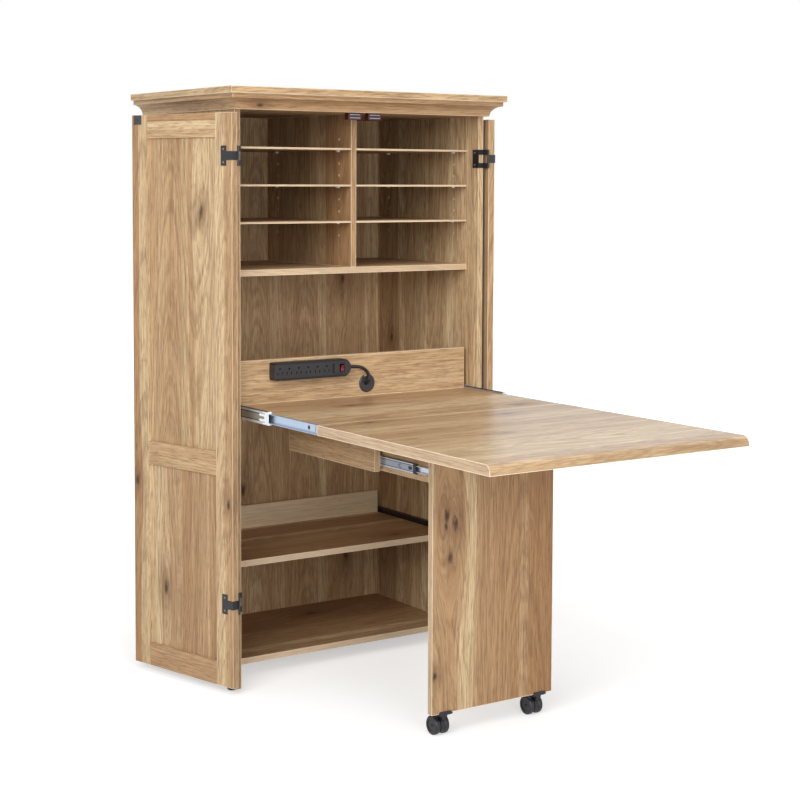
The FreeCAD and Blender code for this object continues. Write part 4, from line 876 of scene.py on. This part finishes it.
def slide_collars(name, node, body, slot, material, lip, start, finish):
    """Sleeves round the front ends of a slide's middle members."""
    low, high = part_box(node)
    outer, foot, head = high[X], low[Z], high[Z]
    inner = min(abs(vertex.co.x) for vertex in NODES[node].data.vertices)
    wall = outer - COLLAR_WALL
    collar = [(outer, foot), (outer, head), (inner, head), (inner, head - lip), (wall, head - lip),
              (wall, foot + lip), (inner, foot + lip), (inner, foot)]
    shape = bmesh.new()
    for _, side in SIDES:
        prism(shape, [(x * side, z) for x, z in collar], Y, low[Y] - finish, low[Y] - start)
    add_piece(name, shape, body, material, False)


def slide_skins(name, node, body, material, half):
    """Thin plastic plates on the outer faces of a slide's middle members."""
    low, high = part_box(node)
    level = middle(node, Z)
    shape = bmesh.new()
    upper = [(low[Y] + length, level + height) for length, height in half]
    lower = [(low[Y] + length, level - height) for length, height in reversed(half)]
    for _, side in SIDES:
        prism(shape, upper + lower, X, side * high[X], side * (high[X] + SKIN_THICK))
    add_piece(name, shape, body, material, False)


WORKTOP_SLIDE = ("slide_middle_members", "worktop_slide_middles")
LEG_SLIDE = ("leg_slide_middle_members", "leg_slide_middles")
slide_collars("worktop_slide_retainers", *WORKTOP_SLIDE, "black_plastic", RETAINER_WHITE,
              RETAINER_LIP, 0.0, RETAINER_REACH)
slide_skins("worktop_slide_skins", *WORKTOP_SLIDE, RETAINER_WHITE, RETAINER_HALF)
slide_collars("leg_slide_noses", *LEG_SLIDE, "zinc", LEG_RACE_ZINC, LEG_LIP, 0.0, NOSE_REACH)
slide_collars("leg_slide_stops", *LEG_SLIDE, "black_plastic", BLACK_PLASTIC, LEG_LIP, NOSE_REACH, STOP_REACH)
slide_skins("leg_slide_hooks", *LEG_SLIDE, BLACK_PLASTIC, HOOK_HALF)
slide_skins("leg_slide_catches", *LEG_SLIDE, BLACK_PLASTIC, CATCH_HALF)


def area_light(name, place, target, size, power):
    data = bpy.data.lights.new(name, "AREA")
    data.shape = "RECTANGLE"
    data.size, data.size_y = size
    data.energy = power
    lamp = bpy.data.objects.new(name, data)
    SCENE.collection.objects.link(lamp)
    lamp.location = place
    lamp.rotation_euler = (Vector(target) - Vector(place)).to_track_quat("-Z", "Y").to_euler()


# Studio: strength of the white sky, half width of the floor, its grey, its gloss, and how its glow grows with
# the share of the fade distance
SKY_STRENGTH = 0.38
WHITE = (1, 1, 1, 1)
FLOOR_REACH = 14.0
FLOOR_GREY = (0.7, 0.7, 0.7)
FLOOR_ROUGH = 0.9
FLOOR_FADE = 4.0
FLOOR_GLOW = ((0.2, 0.5), (0.75, 1.0))

# Lamps: name, place, what it looks at, width and height, power
LAMPS = (("key", (-4.0, -2.6, 3.0), (0.0, -0.1, 0.8), (3.2, 3.2), 185),
         ("fill", (-1.2, -5.0, 1.5), (0.0, 0.0, 0.7), (2.6, 2.6), 110),
         ("top", (0.0, -1.2, 4.2), (0.0, -0.2, 0.0), (4.0, 4.0), 65))


def seen_rays(tree):
    """One for rays that the eye, a mirror or a glass sends, nought for light's own rays."""
    path = tree.nodes.new("ShaderNodeLightPath")
    total = path.outputs["Is Camera Ray"]
    for name in ("Is Glossy Ray", "Is Transmission Ray"):
        joined = tree.nodes.new("ShaderNodeMath")
        joined.operation = "MAXIMUM"
        tree.links.new(total, joined.inputs[0])
        tree.links.new(path.outputs[name], joined.inputs[1])
        total = joined.outputs[0]
    return total


def make_world():
    world = bpy.data.worlds.new("studio")
    SCENE.world = world
    world.use_nodes = True
    tree = world.node_tree
    sky = tree.nodes["Background"]
    sky.inputs["Color"].default_value = WHITE
    sky.inputs["Strength"].default_value = SKY_STRENGTH
    white = tree.nodes.new("ShaderNodeBackground")
    white.inputs["Color"].default_value = WHITE
    mix = tree.nodes.new("ShaderNodeMixShader")
    tree.links.new(seen_rays(tree), mix.inputs[0])
    tree.links.new(sky.outputs[0], mix.inputs[1])
    tree.links.new(white.outputs[0], mix.inputs[2])
    tree.links.new(mix.outputs[0], tree.nodes["World Output"].inputs["Surface"])


def make_floor():
    mesh = bpy.data.meshes.new("floor")
    corners = [(x * FLOOR_REACH, y * FLOOR_REACH, 0) for x, y in ((-1, -1), (1, -1), (1, 1), (-1, 1))]
    mesh.from_pydata(corners, [], [(0, 1, 2, 3)])
    floor = bpy.data.objects.new("floor", mesh)
    SCENE.collection.objects.link(floor)
    g = Graph("floor_white")
    g.set(color=FLOOR_GREY, rough=FLOOR_ROUGH, specular=0.0)
    x, y, _ = g.split("Object", 0.0)
    square = g.math("ADD", g.math("MULTIPLY", x, x), g.math("MULTIPLY", y, y))
    far = g.curve(g.math("DIVIDE", g.math("SQRT", square), FLOOR_FADE), FLOOR_GLOW)
    glow = g.add("ShaderNodeEmission")
    g.put(glow.inputs["Strength"], g.math("MULTIPLY", far, seen_rays(g.tree)))
    both = g.add("ShaderNodeAddShader")
    g.put(both.inputs[0], g.shader.outputs[0])
    g.put(both.inputs[1], glow.outputs[0])
    g.put(g.tree.nodes["Material Output"].inputs["Surface"], both.outputs[0])
    mesh.materials.append(g.material)


make_world()
make_floor()
for lamp in LAMPS:
    area_light(*lamp)
